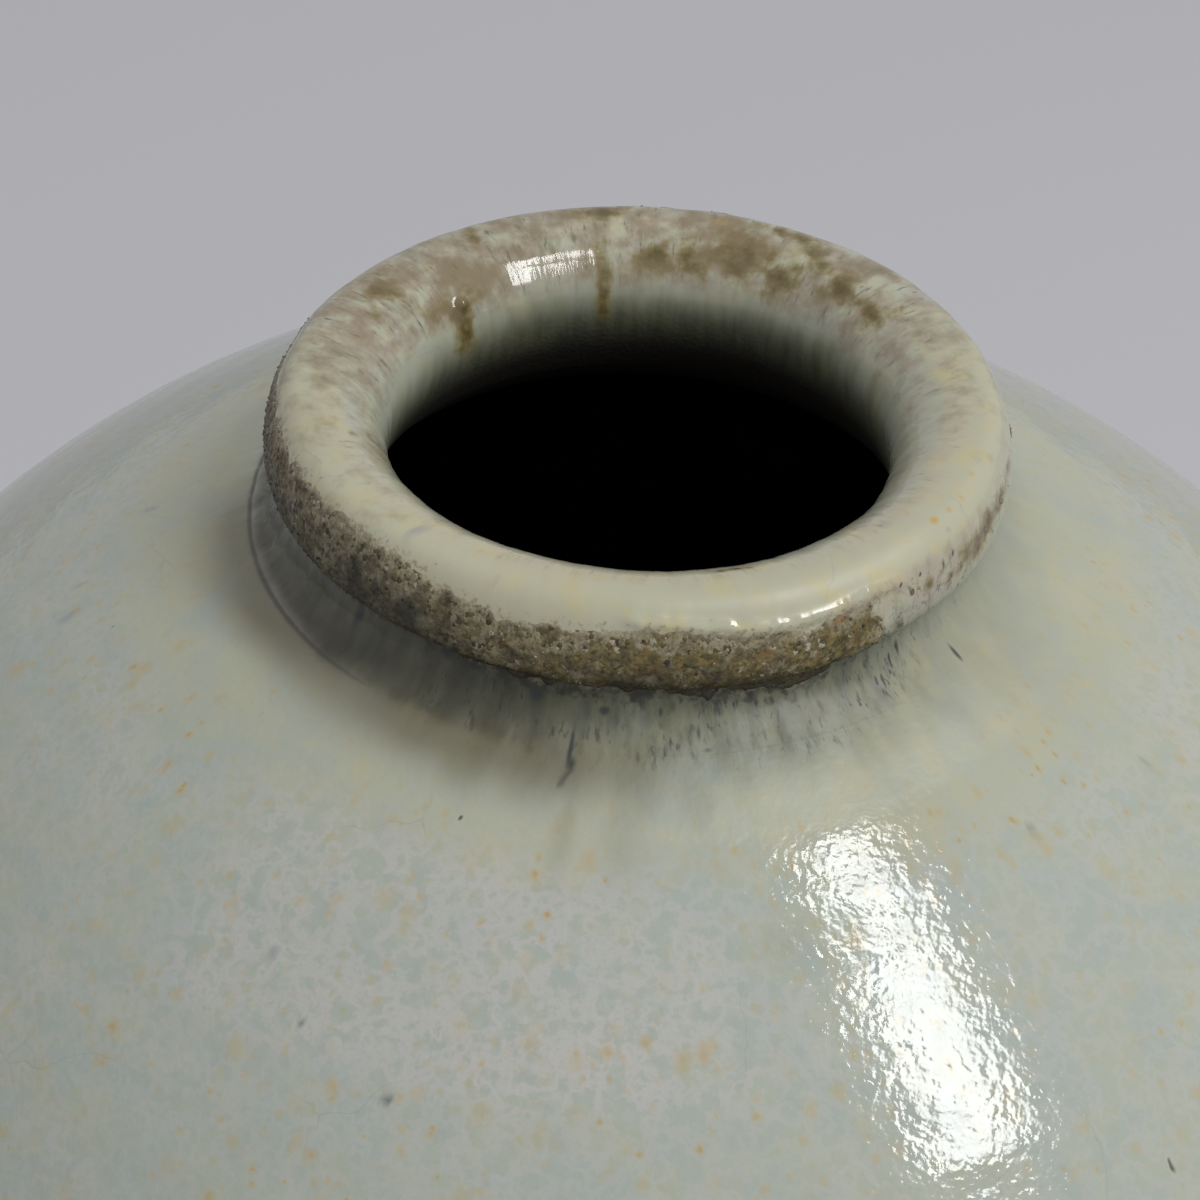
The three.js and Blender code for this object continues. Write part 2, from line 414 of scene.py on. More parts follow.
class Board:
    """Adds nodes to a node tree with short calls."""

    def __init__(self, tree: bpy.types.NodeTree) -> None:
        """Args: tree: the tree that the nodes go into."""
        self.tree = tree

    def add(self, kind: str, settings: dict | None = None, **inputs: object) -> bpy.types.Node:
        """Adds one node.

        Args:
            kind: the node's type name.
            settings: the node's own properties.
            inputs: values or sockets for its inputs, by name with _ for a space.

        Returns:
            The new node.
        """
        node = self.tree.nodes.new(kind)
        for name, value in (settings or {}).items():
            setattr(node, name, value)
        self.feed(node, {name.replace("_", " "): value for name, value in inputs.items()})
        return node

    def feed(self, node: bpy.types.Node, values: dict[str | int, object]) -> None:
        """Links sockets to a node's inputs, or sets the inputs' own values.

        Args:
            node: the node.
            values: sockets, tones or plain values, by the input's name or number.
        """
        for name, value in values.items():
            if isinstance(value, Socket):
                self.tree.links.new(value, node.inputs[name])
            else:
                node.inputs[name].default_value = value.colour() if isinstance(value, Tone) else value

    def math(self, operation: str, first: object, second: object = 0.0, clamp: bool = False) -> Socket:
        """Adds one math node.

        Args:
            operation: its operation, such as ADD.
            first: its first value or socket.
            second: its second value or socket.
            clamp: whether the result is held between 0 and 1.

        Returns:
            The result.
        """
        node = self.add("ShaderNodeMath", {"operation": operation, "use_clamp": clamp})
        self.feed(node, {0: first, 1: second})
        return node.outputs[0]

    def vector(self, operation: str, first: object, second: object = (0.0, 0.0, 0.0)) -> Socket:
        """The vector result of an operation on two vectors."""
        node = self.add("ShaderNodeVectorMath", {"operation": operation})
        self.feed(node, {0: first, 1: second})
        return node.outputs["Vector"]

    def scaled(self, vector: object, factor: object) -> Socket:
        """A vector times a number."""
        node = self.add("ShaderNodeVectorMath", {"operation": "SCALE"}, Scale=factor)
        self.feed(node, {0: vector})
        return node.outputs["Vector"]

    def total(self, first: object, second: object) -> Socket:
        """Two values added together."""
        return self.math("ADD", first, second)

    def product(self, *values: object) -> Socket:
        """Several values multiplied together."""
        result = values[0]
        for value in values[1:]:
            result = self.math("MULTIPLY", result, value)
        return result

    def mix(self, factor: object, first: object, second: object) -> Socket:
        """Mixes two colours.

        Args:
            factor: how much of the second, from 0 to 1.
            first: the first colour, socket or Tone.
            second: the second colour, socket or Tone.

        Returns:
            The mixed colour.
        """
        node = self.add("ShaderNodeMix", {"data_type": "RGBA", "blend_type": "MIX", "clamp_factor": True})
        self.feed(node, {0: factor, 6: first, 7: second})
        return node.outputs[2]

    def ease(self, value: object, low: object, high: object, start: float = 0.0, stop: float = 1.0) -> Socket:
        """A value eased from start to stop as it goes from low to high."""
        node = self.add("ShaderNodeMapRange", {"interpolation_type": "SMOOTHSTEP"}, Value=value)
        self.feed(node, {"From Min": low, "From Max": high, "To Min": start, "To Max": stop})
        return node.outputs["Result"]

    def noise(self, vector: object, scale: object, detail: object = 2.0, roughness: object = 0.5) -> Socket:
        """Noise from about 0 to 1, at a number of features to the metre."""
        node = self.add("ShaderNodeTexNoise", Vector=vector, Scale=scale, Detail=detail, Roughness=roughness)
        return node.outputs[0]

    def named(self, name: str) -> Socket:
        """The number that a geometry carries under a name."""
        node = self.add("GeometryNodeInputNamedAttribute", {"data_type": "FLOAT"}, Name=name)
        return node.outputs["Attribute"]

    def keep(self, geometry: Socket, domain: str, name: str, value: Socket) -> Socket:
        """Keeps a number on a geometry.

        Args:
            geometry: the geometry.
            domain: what the number belongs to, such as POINT.
            name: the name that it is kept under.
            value: the number.

        Returns:
            The geometry with the number on it.
        """
        node = self.add("GeometryNodeStoreNamedAttribute", {"data_type": "FLOAT", "domain": domain})
        self.feed(node, {"Geometry": geometry, "Name": name, "Value": value})
        return node.outputs[0]


Filling = Callable[[Board, Outputs], tuple[Socket, ...]]


class Tool:
    """A Geometry Nodes tree with named inputs, which makes a plain mesh out of another."""

    name: str
    source: str
    result: str
    sizes: tuple[tuple[str, str], ...]

    def __init__(self) -> None:
        """Builds the tree."""
        self.tree = bpy.data.node_groups.new(self.name, "GeometryNodeTree")
        face = self.tree.interface
        self.sockets = {
            name: face.new_socket(name, in_out="INPUT", socket_type="NodeSocket" + kind).identifier
            for name, kind in ((self.source, "Geometry"), *self.sizes, ("Finish", "Material"))
        }
        face.new_socket(self.result, in_out="OUTPUT", socket_type="NodeSocketGeometry")
        board = Board(self.tree)
        given = board.add("NodeGroupInput").outputs
        real = board.add("GeometryNodeRealizeInstances", Geometry=self.lay_out(board, given))
        done = board.add("GeometryNodeSetMaterial", Geometry=real.outputs[0], Material=given["Finish"])
        board.add("NodeGroupOutput", **{self.result: done.outputs[0]})

    def lay_out(self, board: Board, given: Outputs) -> Socket:
        """Adds the tool's own nodes.

        Args:
            board: the tree's board.
            given: the tree's inputs.

        Returns:
            The geometry that the nodes make.
        """
        raise NotImplementedError

    def run(self, name: str, source: bpy.types.Mesh, values: dict[str, object]) -> bpy.types.Mesh:
        """Runs the tool once.

        Args:
            name: the new mesh's name.
            source: the mesh that it works on.
            values: the tree's inputs, by name.

        Returns:
            What the tree makes, as a mesh of its own.
        """
        holder = linked(name + "_source", source)
        modifier = holder.modifiers.new(self.name, "NODES")
        modifier.node_group = self.tree
        for key, value in values.items():
            modifier[self.sockets[key]] = value
        graph = bpy.context.evaluated_depsgraph_get()
        mesh = bpy.data.meshes.new_from_object(
            holder.evaluated_get(graph), preserve_all_data_layers=True, depsgraph=graph
        )
        mesh.name = name
        bpy.data.objects.remove(holder)
        return mesh


class Closing(Enum):
    """How the rings of a turned section end."""

    LOOP = "the last ring joins the first"
    POLES = "the first and last rings are points on the axis"


class Wheel(Tool):
    """The tree that turns a profile about the jar's axis."""

    name = "turning_wheel"
    source = "Profile"
    result = "Wall"
    sizes = (("Segments", "Int"), ("Rings", "Int"), ("Weld Distance", "Float"))

    def lay_out(self, board: Board, given: Outputs) -> Socket:
        """Adds a grid whose rows are the profile's points and whose columns turn.

        Args:
            board: the tree's board.
            given: the tree's inputs.

        Returns:
            The turned wall.
        """
        line, columns = given["Profile"], board.total(given["Segments"], 1.0)
        grid = board.add("GeometryNodeMeshGrid", Vertices_X=columns, Vertices_Y=given["Rings"])
        index = board.add("GeometryNodeInputIndex").outputs[0]
        count = board.add("GeometryNodeAttributeDomainSize", Geometry=line).outputs["Point Count"]
        row = board.math("MODULO", board.math("MODULO", index, given["Rings"]), count)
        column = board.math("FLOOR", board.math("DIVIDE", board.total(index, 0.5), given["Rings"]))
        turn = board.product(board.math("DIVIDE", column, given["Segments"]), 2 * math.pi)
        position = board.add("GeometryNodeInputPosition").outputs[0]
        place, run = (
            board.add("GeometryNodeSampleIndex", {"data_type": kind}, Geometry=line, Value=value, Index=row)
            for kind, value in (("FLOAT_VECTOR", position), ("FLOAT", board.named("run")))
        )
        parts = board.add("ShaderNodeSeparateXYZ", Vector=place.outputs[0]).outputs
        across, along = (board.product(parts["X"], board.math(way, turn)) for way in ("COSINE", "SINE"))
        turned = board.add("ShaderNodeCombineXYZ", X=across, Y=along, Z=parts["Z"])
        kept = board.keep(grid.outputs["Mesh"], "POINT", "run", run.outputs[0])
        moved = board.add("GeometryNodeSetPosition", Geometry=kept, Position=turned.outputs[0]).outputs[0]
        welded = board.add("GeometryNodeMergeByDistance", Geometry=moved, Distance=given["Weld Distance"])
        return welded.outputs[0]

    def turn(
        self,
        name: str,
        rings: np.ndarray,
        runs: np.ndarray,
        segments: int,
        finish: bpy.types.Material,
        closing: Closing = Closing.LOOP,
    ) -> "Surface":
        """Turns one closed section.

        Args:
            name: the new object's name.
            rings: the rings' (radius, height) rows, in order round the section.
            runs: the run that each ring keeps.
            segments: how many steps go round the jar.
            finish: the material that the section takes.
            closing: how the rings end.

        Returns:
            The section, as a plain mesh object at the origin whose faces point out.
        """
        line = bpy.data.meshes.new(name + "_profile")
        line.from_pydata([(r, 0.0, z) for r, z in rings], [], [])
        line.attributes.new("run", "FLOAT", "POINT").data.foreach_set("value", runs.astype(np.float32))
        rows = len(rings) + (closing is Closing.LOOP)
        values = {"Segments": segments, "Rings": rows, "Weld Distance": WELD_GAP, "Finish": finish}
        mesh = self.run(name, line, values)
        if signed_volume(mesh) < 0.0:
            mesh.flip_normals()
        return Surface(linked(name, mesh))


class GritScatter(Tool):
    """The tree that scatters kiln grains over a surface, as its grit attribute says."""

    name = "grit_scatter"
    source = "Surface"
    result = "Grains"
    sizes = (("Density", "Float"), ("Least Size", "Float"), ("Most Size", "Float"), ("Seed", "Int"))

    def lay_out(self, board: Board, given: Outputs) -> Socket:
        """Adds chipped grains of uneven sizes, each with its own tone.

        Args:
            board: the tree's board.
            given: the tree's inputs.

        Returns:
            The grains.
        """
        spread = board.add("GeometryNodeDistributePointsOnFaces", Mesh=given["Surface"], Seed=given["Seed"])
        board.feed(spread, {"Density": board.product(given["Density"], board.named("grit"))})
        chips, turn, size, shape, tone = (
            board.add("FunctionNodeRandomValue", {"data_type": kind})
            for kind in ("FLOAT_VECTOR", "FLOAT_VECTOR", "FLOAT", "FLOAT_VECTOR", "FLOAT")
        )
        board.feed(chips, {0: (-0.14,) * 3, 1: (0.14,) * 3})
        board.feed(turn, {1: (math.tau,) * 3})
        board.feed(size, {2: given["Least Size"], 3: given["Most Size"]})
        board.feed(shape, {0: (0.7,) * 3, 1: (1.15,) * 3})
        for number, node in enumerate((turn, size, shape), 1):
            board.feed(node, {"Seed": board.total(given["Seed"], float(number))})
        seed = board.add("GeometryNodeMeshIcoSphere", Radius=0.5, Subdivisions=1)
        grain = board.add("GeometryNodeSetPosition", Geometry=seed.outputs["Mesh"], Offset=chips.outputs[0])
        placed = board.add(
            "GeometryNodeInstanceOnPoints",
            Points=spread.outputs["Points"],
            Instance=grain.outputs[0],
            Scale=board.scaled(shape.outputs[0], size.outputs[1]),
            Rotation=turn.outputs[0],
        )
        return board.keep(placed.outputs[0], "INSTANCE", "tone", tone.outputs[1])

    def scatter(
        self,
        name: str,
        host: bpy.types.Object,
        density: float,
        sizes: Pair,
        seed: int,
        finish: bpy.types.Material,
    ) -> bpy.types.Object:
        """Scatters grains over a surface that carries a grit attribute.

        Args:
            name: the new object's name.
            host: the surface's object.
            density: grains to the square metre where grit is 1.
            sizes: the smallest and the largest grain's width, in millimetres.
            seed: the random seed.
            finish: the grains' material.

        Returns:
            All the grains as one plain mesh object at the origin.
        """
        least, most = (size * MM for size in sizes)
        values = {"Density": density, "Least Size": least, "Most Size": most, "Seed": seed, "Finish": finish}
        return linked(name, self.run(name, host.data.copy(), values))


def linked(name: str, data: bpy.types.ID) -> bpy.types.Object:
    """A new object in the scene that shows a mesh, a lamp or a camera."""
    piece = bpy.data.objects.new(name, data)
    bpy.context.scene.collection.objects.link(piece)
    return piece


def mesh_points(mesh: bpy.types.Mesh) -> np.ndarray:
    """A mesh's vertices, shaped (n, 3)."""
    flat = np.empty(len(mesh.vertices) * 3, np.float32)
    mesh.vertices.foreach_get("co", flat)
    return flat.reshape(-1, 3).astype(float)


def signed_volume(mesh: bpy.types.Mesh) -> float:
    """A closed mesh's volume.

    Args:
        mesh: the mesh.

    Returns:
        The volume, which is less than 0 when the faces point in.
    """
    mesh.calc_loop_triangles()
    corners = np.empty(len(mesh.loop_triangles) * 3, np.int32)
    mesh.loop_triangles.foreach_get("vertices", corners)
    a, b, c = np.moveaxis(mesh_points(mesh)[corners.reshape(-1, 3)], 1, 0)
    return float(np.einsum("ij,ij->i", a, np.cross(b, c)).sum() / 6.0)


@dataclass
class Surface:
    """The vertices of one turned piece, in the coordinates that its shape and finish follow."""

    piece: bpy.types.Object
    points: np.ndarray = field(init=False)
    angles: np.ndarray = field(init=False)
    runs: np.ndarray = field(init=False)
    mm: np.ndarray = field(init=False)

    def __post_init__(self) -> None:
        """Reads the mesh. The runs are kept in metres, and as mm in millimetres."""
        self.points = mesh_points(self.piece.data)
        self.angles = np.degrees(np.arctan2(self.points[:, 1], self.points[:, 0]))
        values = np.empty(len(self.points), np.float32)
        self.piece.data.attributes["run"].data.foreach_get("value", values)
        self.runs = values.astype(float)
        self.mm = self.runs / MM

    def radii(self) -> np.ndarray:
        """How far each vertex lies from the axis."""
        return np.hypot(self.points[:, 0], self.points[:, 1])

    def place(self, points: np.ndarray) -> None:
        """Moves the vertices to new places."""
        self.points = points
        self.piece.data.vertices.foreach_set("co", points.astype(np.float32).ravel())
        self.piece.data.update()

    def shape(self, hand: "HandWork", rise: np.ndarray) -> None:
        """Moves the vertices out of the clay, and wavers them as the lip does.

        Args:
            hand: the hand work, whose waver the surface follows.
            rise: how far each vertex moves out, in metres.
        """
        out, up = (hand.path.normals(self.runs) * rise[:, None] + hand.lip_waver(self)).T
        turn = np.radians(self.angles)
        moved = self.points + np.stack([out * np.cos(turn), out * np.sin(turn), up], axis=1)
        on_axis = self.radii() < 0.01 * MM
        moved[on_axis] = self.points[on_axis]
        self.place(moved)

    def paint(self, name: str, values: np.ndarray) -> None:
        """Keeps one number for each vertex under a name that materials read."""
        held = np.clip(values, 0.0, 1.0).astype(np.float32)
        self.piece.data.attributes.new(name, "FLOAT", "POINT").data.foreach_set("value", held)

    def flow(self, along: float = 1.0) -> np.ndarray:
        """Places in which runs of glaze are straight: round the jar, and along run times along."""
        turn = np.radians(self.angles)
        return np.stack([FLOW_RADIUS * np.cos(turn), FLOW_RADIUS * np.sin(turn), self.runs * along], axis=1)


# Hand work on the surface.


def marks(surface: Surface, path: TurnedPath, rows: Rows) -> np.ndarray:
    """How much of several soft marks each vertex carries, the strongest where they overlap.

    Args:
        surface: the vertices.
        path: the profile, which gives the radius at each mark.
        rows: each mark's angle, run, half sizes round and along the wall, and strength where it isn't 1.

    Returns:
        One number for each vertex.
    """
    total = np.zeros(len(surface.points))
    for angle, run, across, along, *rest in rows:
        strength = rest[0] if rest else 1.0
        radius = path.at(np.array([run * MM]))[0, 0] / MM
        round_gap = np.radians(turn_between(surface.angles, angle)) * radius / across
        cover = np.exp(-(round_gap**2 + ((surface.mm - run) / along) ** 2))
        total = np.maximum(total, strength * cover)
    return total


def crust_edges(angles: np.ndarray) -> tuple[np.ndarray, np.ndarray]:
    """The runs between which the grit crust lies.

    Args:
        angles: angles round the jar.

    Returns:
        The lower and the upper run at each angle, in millimetres.
    """
    turns = (-180, -150, -126, -110, -88, -63, -52, -40, -28, 0, 40, 70, 105, 150)
    low = (8.0, 7.6, 8.6, 7.1, 7.3, 6.2, 8.6, 11.8, 12.6, 12.8, 11.0, 9.0, 9.0, 8.4)
    high = (17.6, 18.0, 18.0, 15.9, 16.6, 15.2, 16.0, 15.0, 15.2, 15.6, 16.6, 19.0, 18.6, 17.0)
    return tuple(np.interp(angles, turns, values, period=360.0) for values in (low, high))


@dataclass
class HandWork:
    """What the maker's hand and the kiln do to the turned surfaces: their relief, their patches and painted
    shade.

    Lengths are in millimetres. Marks are rows of an angle, a run, half sizes round and along the wall, and
    a strength where it isn't 1.
    """

    path: TurnedPath
    lip_lean: float = 0.45
    lip_oval: float = 0.5
    lip_lumps: float = 0.16
    body_sway: float = 0.12
    ring_rise: float = 0.035
    ring_pitch: float = 7.0
    run_rise: float = 0.10
    crease_depth: float = 0.05
    crease_width: float = 0.3
    fillet_width: float = 4.2
    fillet_fill: float = 0.28
    edge_roll: float = 0.4
    edge_roll_width: float = 0.66
    blister_rise: float = 0.55
    scab_rise: float = 0.12
    swell_rise: float = 0.4
    blister: Rows = ((138, 29.3, 0.75, 0.75),)
    swells: Rows = (
        (134, 27.5, 5.5, 4.5), (112, 27, 6.5, 7, 0.9), (48, 24, 6, 4, 0.7), (-150, 24, 6, 3.5, 0.6),
        (-20, 25, 5, 3.5, 0.6),
    )
    scabs: Rows = ((152, 23.4, 2.4, 2, 0.9), (158.5, 24.6, 1.8, 1.6, 0.5), (140, 31.4, 2, 3.6))
    ash_marks: Rows = (
        (139, 29, 3.2, 1.9, 0.75), (146, 28.6, 2.6, 1.8, 0.5), (126, 21.8, 0.9, 2, 0.7),
        (100.5, 31, 1.1, 4.6, 0.85), (99, 20.8, 3.6, 1.5, 0.85), (88.5, 27.6, 3.4, 1.9, 0.8),
        (80, 27.4, 3, 2.3), (70, 26.2, 4.2, 2.8), (73, 24, 4, 2, 0.7), (60.5, 27.2, 2.6, 2.6),
        (64, 20.8, 3.6, 1.3, 0.85), (57, 22.6, 1.6, 1.4, 0.7), (53, 25, 1.8, 1.8, 0.8),
        (47, 25.6, 3, 2, 0.85), (38, 26.4, 3, 1.9, 0.8), (34, 24.4, 1.8, 1.4, 0.6),
        (-163.5, 28, 1, 0.8, 0.8), (-72, 24.6, 2.2, 0.5, 0.6), (-40, 14, 0.9, 0.7, 0.8),
        (-35, 13.1, 0.9, 0.7, 0.75), (-30, 13.6, 2.2, 1.5, 1.1), (-26, 13.6, 2.6, 1.4, 1.1),
        (-22, 14.2, 2.8, 1.3, 1.1), (-16.5, 14.6, 3, 1.1), (-10, 15, 2.6, 0.9, 0.8),
        (-161, 25.6, 0.8, 0.6, 0.8),
    )
    dark_marks: Rows = (
        (-135, 13.4, 1, 1.7), (-133.5, 10.4, 0.9, 2.4), (-130.5, 13.4, 0.7, 0.9, 0.7),
        (-125, 12.2, 1.2, 1, 0.8), (-118.5, 16.2, 0.45, 0.5, 0.9), (-115.5, 14, 0.4, 0.5, 0.7),
        (-107, 12.2, 0.6, 0.7, 0.9), (-104, 9.4, 1.6, 1, 0.8), (-90, 10.2, 1.8, 1, 0.6),
        (-77, 11.4, 1.4, 0.8, 0.5),
    )
    soft_marks: Rows = (
        (-96.5, -7, 1.2, 6.5, 0.42), (-90, -9, 2.2, 5, 0.28), (-66, 8, 1.3, 3, 0.35),
        (-27, -3, 9, 8, 0.22), (-60, -13, 8, 5, 0.14), (-74, -21, 3, 2.4, 0.22), (-163, 20.5, 5, 3, 0.2),
    )
    rust_marks: Rows = (
        (-34.5, 19.7, 0.65, 0.5), (-20, 20, 0.5, 0.45, 0.6), (-36, 22.4, 0.4, 0.35, 0.5),
        (-30.5, 19.5, 0.5, 0.4, 0.75), (-26.5, 19.4, 0.45, 0.6, 0.6), (-80.5, 21.8, 0.35, 0.3, 0.45),
        (-73.5, 21.2, 0.35, 0.3, 0.4), (77, 21.6, 1.9, 1, 0.42), (-53, -12.2, 0.9, 0.9, 0.5),
        (-101, -32, 0.5, 0.9, 0.4),
    )
    scorch_marks: Rows = (
        (-58, 15.2, 1, 0.9), (-70, 13.2, 1.5, 0.7, 0.6), (-165, 15.2, 1.6, 1.1, 0.8),
        (-172, 16.2, 1.6, 1, 0.6), (-156, 15.6, 1.3, 0.9, 0.7), (-88, 14.4, 0.7, 0.6, 0.5),
    )
    iron_marks: Rows = (
        (-100, -35.1, 0.45, 0.5, 0.9), (-106.5, -38.8, 0.55, 0.7, 0.8), (-115, -34.7, 0.6, 0.65, 0.45),
        (-113.5, -36.9, 0.6, 0.7, 0.5), (-44.5, -18.5, 0.9, 1.3, 0.4), (-97.4, 0.2, 0.22, 2.6),
        (-96.8, -1.6, 0.32, 1.1, 0.8), (-98.3, -3.6, 0.25, 0.8, 0.7), (-97.5, -3.3, 0.3, 0.7, 0.6),
        (-93.4, 4.9, 0.55, 0.5, 0.9), (-85, 5, 0.25, 0.6, 0.8), (-83.2, 5.6, 0.5, 0.9, 0.5),
        (-78.5, 5.8, 0.4, 0.7, 0.6), (-84.6, 0.4, 0.25, 1.2, 0.6), (-78.5, 0.6, 0.6, 0.35, 0.5),
        (-104, 5.6, 0.7, 1, 0.7), (-119, 7.4, 0.9, 1, 0.8), (-137, 5.6, 0.5, 1.8, 0.7),
        (-79.6, 2.6, 0.22, 1, 0.8), (-44.5, 6, 0.3, 1.1, 0.8), (-35, 1.4, 0.28, 1.4, 0.8),
        (-136.5, 7, 0.55, 2.6, 0.8), (-46.5, 16, 0.24, 0.3, 0.9), (-42, 15.8, 0.24, 0.25, 0.9),
        (-34, 15.5, 0.3, 0.45, 0.8), (-36.5, 15, 0.25, 0.6, 0.7),
    )

    def lip_waver(self, surface: Surface) -> np.ndarray:
        """How the lip wavers as a whole. It fades out at the shoulder.

        Args:
            surface: the vertices.

        Returns:
            How far each moves, as (radius, height) rows in metres.
        """
        deep_in, far_in = (self.path.inner_run(height * MM) for height in (236, 222))
        share = MM * smooth_step(-6.0, 12.0, surface.mm) * (1.0 - smooth_step(deep_in, far_in, surface.runs))
        out, up = (
            size * sum(part * np.cos(count * np.radians(surface.angles - at)) for part, count, at in waves)
            for size, waves in (
                (self.lip_oval, ((1.0, 2, 20.0), (0.3, 3, 75.0))),
                (self.lip_lean, ((1.0, 1, 150.0), (-0.5, 2, 88.0))),
            )
        )
        return np.stack([out * share, up * share], axis=1)

    def relief(self, surface: Surface) -> np.ndarray:
        """How far the glazed surface stands out of the turned form.

        Args:
            surface: the vertices.

        Returns:
            The height at each vertex, in metres.
        """
        path, mm, angles = self.path, surface.mm, surface.angles
        crest = path.crest() / MM
        lip = band(mm, 8.0, 34.0, 5.0)
        spiral = 2 * math.pi * (mm / self.ring_pitch + angles / 360.0)
        swollen = marks(surface, path, self.swells)
        streaks = Grain(1.6, 23).layered(surface.flow(0.14), 2)
        upper_edge = crust_edges(angles)[1] + 0.55 + 0.45 * Grain(1.6, 29).layered(surface.flow(0.0), 2)
        rise = self.body_sway * Grain(55.0, 3).layered(surface.points, 2)
        rise += self.ring_rise * np.sin(spiral) * (1.0 - smooth_step(crest, crest + 2.0, mm)) * (1.0 - lip)
        rise += self.lip_lumps * lip * Grain(7.0, 11).layered(surface.points, 2)
        running = np.maximum(band(mm, 0.0, 9.0, 5.0), 0.55 * lip * (1.0 - 0.9 * swollen))
        rise += self.run_rise * streaks * running
        rise += self.crease_relief(surface)
        rise += self.swell_rise * swollen
        rise += self.edge_roll * bell(mm, upper_edge, self.edge_roll_width) * arc(angles, -88.0, -48.0, 5.0)
        rise += self.blister_rise * marks(surface, path, self.blister)
        rise += self.scab_rise * marks(surface, path, self.scabs)
        return MM * rise * smooth_step(-220.0, -200.0, mm)

    def crease_relief(self, surface: Surface) -> np.ndarray:
        """The crease at the foot of the neck: crisp and grooved at the left, filled with glaze elsewhere.

        Args:
            surface: the vertices.

        Returns:
            The height at each vertex, in millimetres.
        """
        crisp = self.crisp(surface.angles)
        before, after = self.path.normals(np.array([-0.5, 0.5]) * MM)
        bend = math.acos(float(before @ after))
        width = self.fillet_width * (1.0 - 0.72 * crisp)
        fillet = 0.5 * bend * (np.hypot(surface.mm, width) - np.abs(surface.mm))
        fill = self.fillet_fill * bell(surface.mm, 1.2, 3.6) * (1.0 - crisp)
        wander = 0.25 * Grain(6.0, 31).layered(surface.flow(0.0), 2)
        return fillet + fill - self.crease_depth * bell(surface.mm, wander, self.crease_width) * crisp

    @staticmethod
    def crisp(angles: np.ndarray) -> np.ndarray:
        """How crisp the crease is, from 1 at the left to 0 at the front and the right."""
        return arc(angles, -205.0, -146.0, 36.0)

    def paint_glaze(self, surface: Surface, bare: np.ndarray | float = 0.0) -> None:
        """Paints the patches that the glaze's material reads, one name for each.

        Args:
            surface: a turned surface that wears the glaze.
            bare: where its clay is bare, from 0 to 1.
        """
        path, angles, mm, paint = self.path, surface.angles, surface.mm, surface.paint
        crest = path.crest() / MM
        crisp, back = self.crisp(angles), arc(angles, 35, 165, 25)
        inner = smooth_step(crest + 0.5, crest + 3, mm)
        drift = Grain(9, 41).layered(surface.points, 3)
        fine = Grain(2.2, 43).layered(surface.flow(0.4), 2)
        low_edge, high_edge = crust_edges(angles)
        paint(
            "cream",
            0.85 * band(mm, 14, crest + 2.5, 3) * (1 - 0.45 * back)
            + 0.6 * band(mm, -9, 2, 12) * (0.7 + 0.5 * drift)
            + 0.22 * drift * (mm < 0)
            + 0.4 * inner
            + 0.3 * arc(angles, -20, 70, 30) * (1 - smooth_step(-30, -5, mm)),
        )
        slope = band(mm, crest - 2.5 * back, crest + 7.5, 4)
        reach = np.maximum(inner, back * smooth_step(crest - 3, crest, mm))
        pale = 0.62 * arc(angles, -54, -24, 6) * band(mm, 11.5, 16.2, 1.5)
        paint("blush", np.maximum(reach * slope * (0.35 + 0.6 * back + 0.5 * drift), pale))
        shift = around(angles, (-180, 3.5), (-130, 2), (-60, 1), (0, 0), (70, -2), (110, -2), (150, 1.2))
        start = around(angles, (-180, 0.4), (-146, 0.2), (-110, -9), (-60, -11), (0, -6), (90, -4))
        full = around(angles, (-180, 1.4), (-146, 1.6), (-110, 6), (-60, 9), (0, 7), (90, 4))
        # How strongly the glassy pool lies on the neck round the jar. It is strongest at the left and front,
        # where the lip shades the neck, so it is partly painted shade.
        pool_and_shade = around(
            angles, (-180, 0.9), (-110, 1), (-78, 0.95), (-55, 0.9), (-32, 0.4), (20, 0.25), (90, 0.6)
        )
        wash = around(
            angles, (-180, 0.8), (-140, 0.5), (-100, 0), (-40, 0), (0, 0.45), (40, 0.95), (110, 1), (150, 0.9)
        )
        deep = 0.9 * smooth_step(crest + 8.5, crest + 17, mm + 1.5 * fine - shift)
        neck = smooth_step(0.0, 1.0, (mm - start) / (full - start) + 0.18 * fine * (1 - crisp))
        paint("pool", np.maximum(deep, neck * pool_and_shade * (1 - smooth_step(9.5, 12.5, mm))))
        paint("ash", marks(surface, path, self.scabs + self.ash_marks) * (1 + 0.25 * fine))
        paint("rust", marks(surface, path, self.rust_marks))
        paint("iron", marks(surface, path, self.iron_marks))
        cloud = arc(angles, -124, -84, 16) * band(mm, -34, -17, 9)
        net = smooth_step(-11, -20, mm) * (0.4 + 0.35 * drift)
        paint("cloud", np.maximum(cloud * (0.85 + 0.4 * drift), net))
        # Painted shadow: a soft dark smudge round the foot of the neck at the left, where the lip's shadow
        # falls, joined with soft stain marks.
        smudge_and_shadow = bell(mm, -1.6, 3.8) * arc(angles, -172, -100, 18)
        # Painted shade: a thin dark line in the crease at the left, laid with both the shadow round the
        # neck's foot and the neck's shade.
        line = bell(mm, -0.1, 0.45) * crisp
        soft = np.maximum(marks(surface, path, self.soft_marks), 0.75 * line)
        paint("stain_and_shadow", np.maximum(smudge_and_shadow * (1.05 + 0.3 * drift), soft))
        # Painted shade: the neck's left side darkened, where it lies in the lip's shadow.
        neck_shade = band(mm, 1.2, 8, 3) * arc(angles, -190, -112, 22)
        paint("neck_shade", np.maximum(neck_shade * (0.75 + 0.35 * fine), 0.95 * line))
        paint("tan", wash * band(mm, 17, 29, 5) * (0.8 + 0.5 * drift))
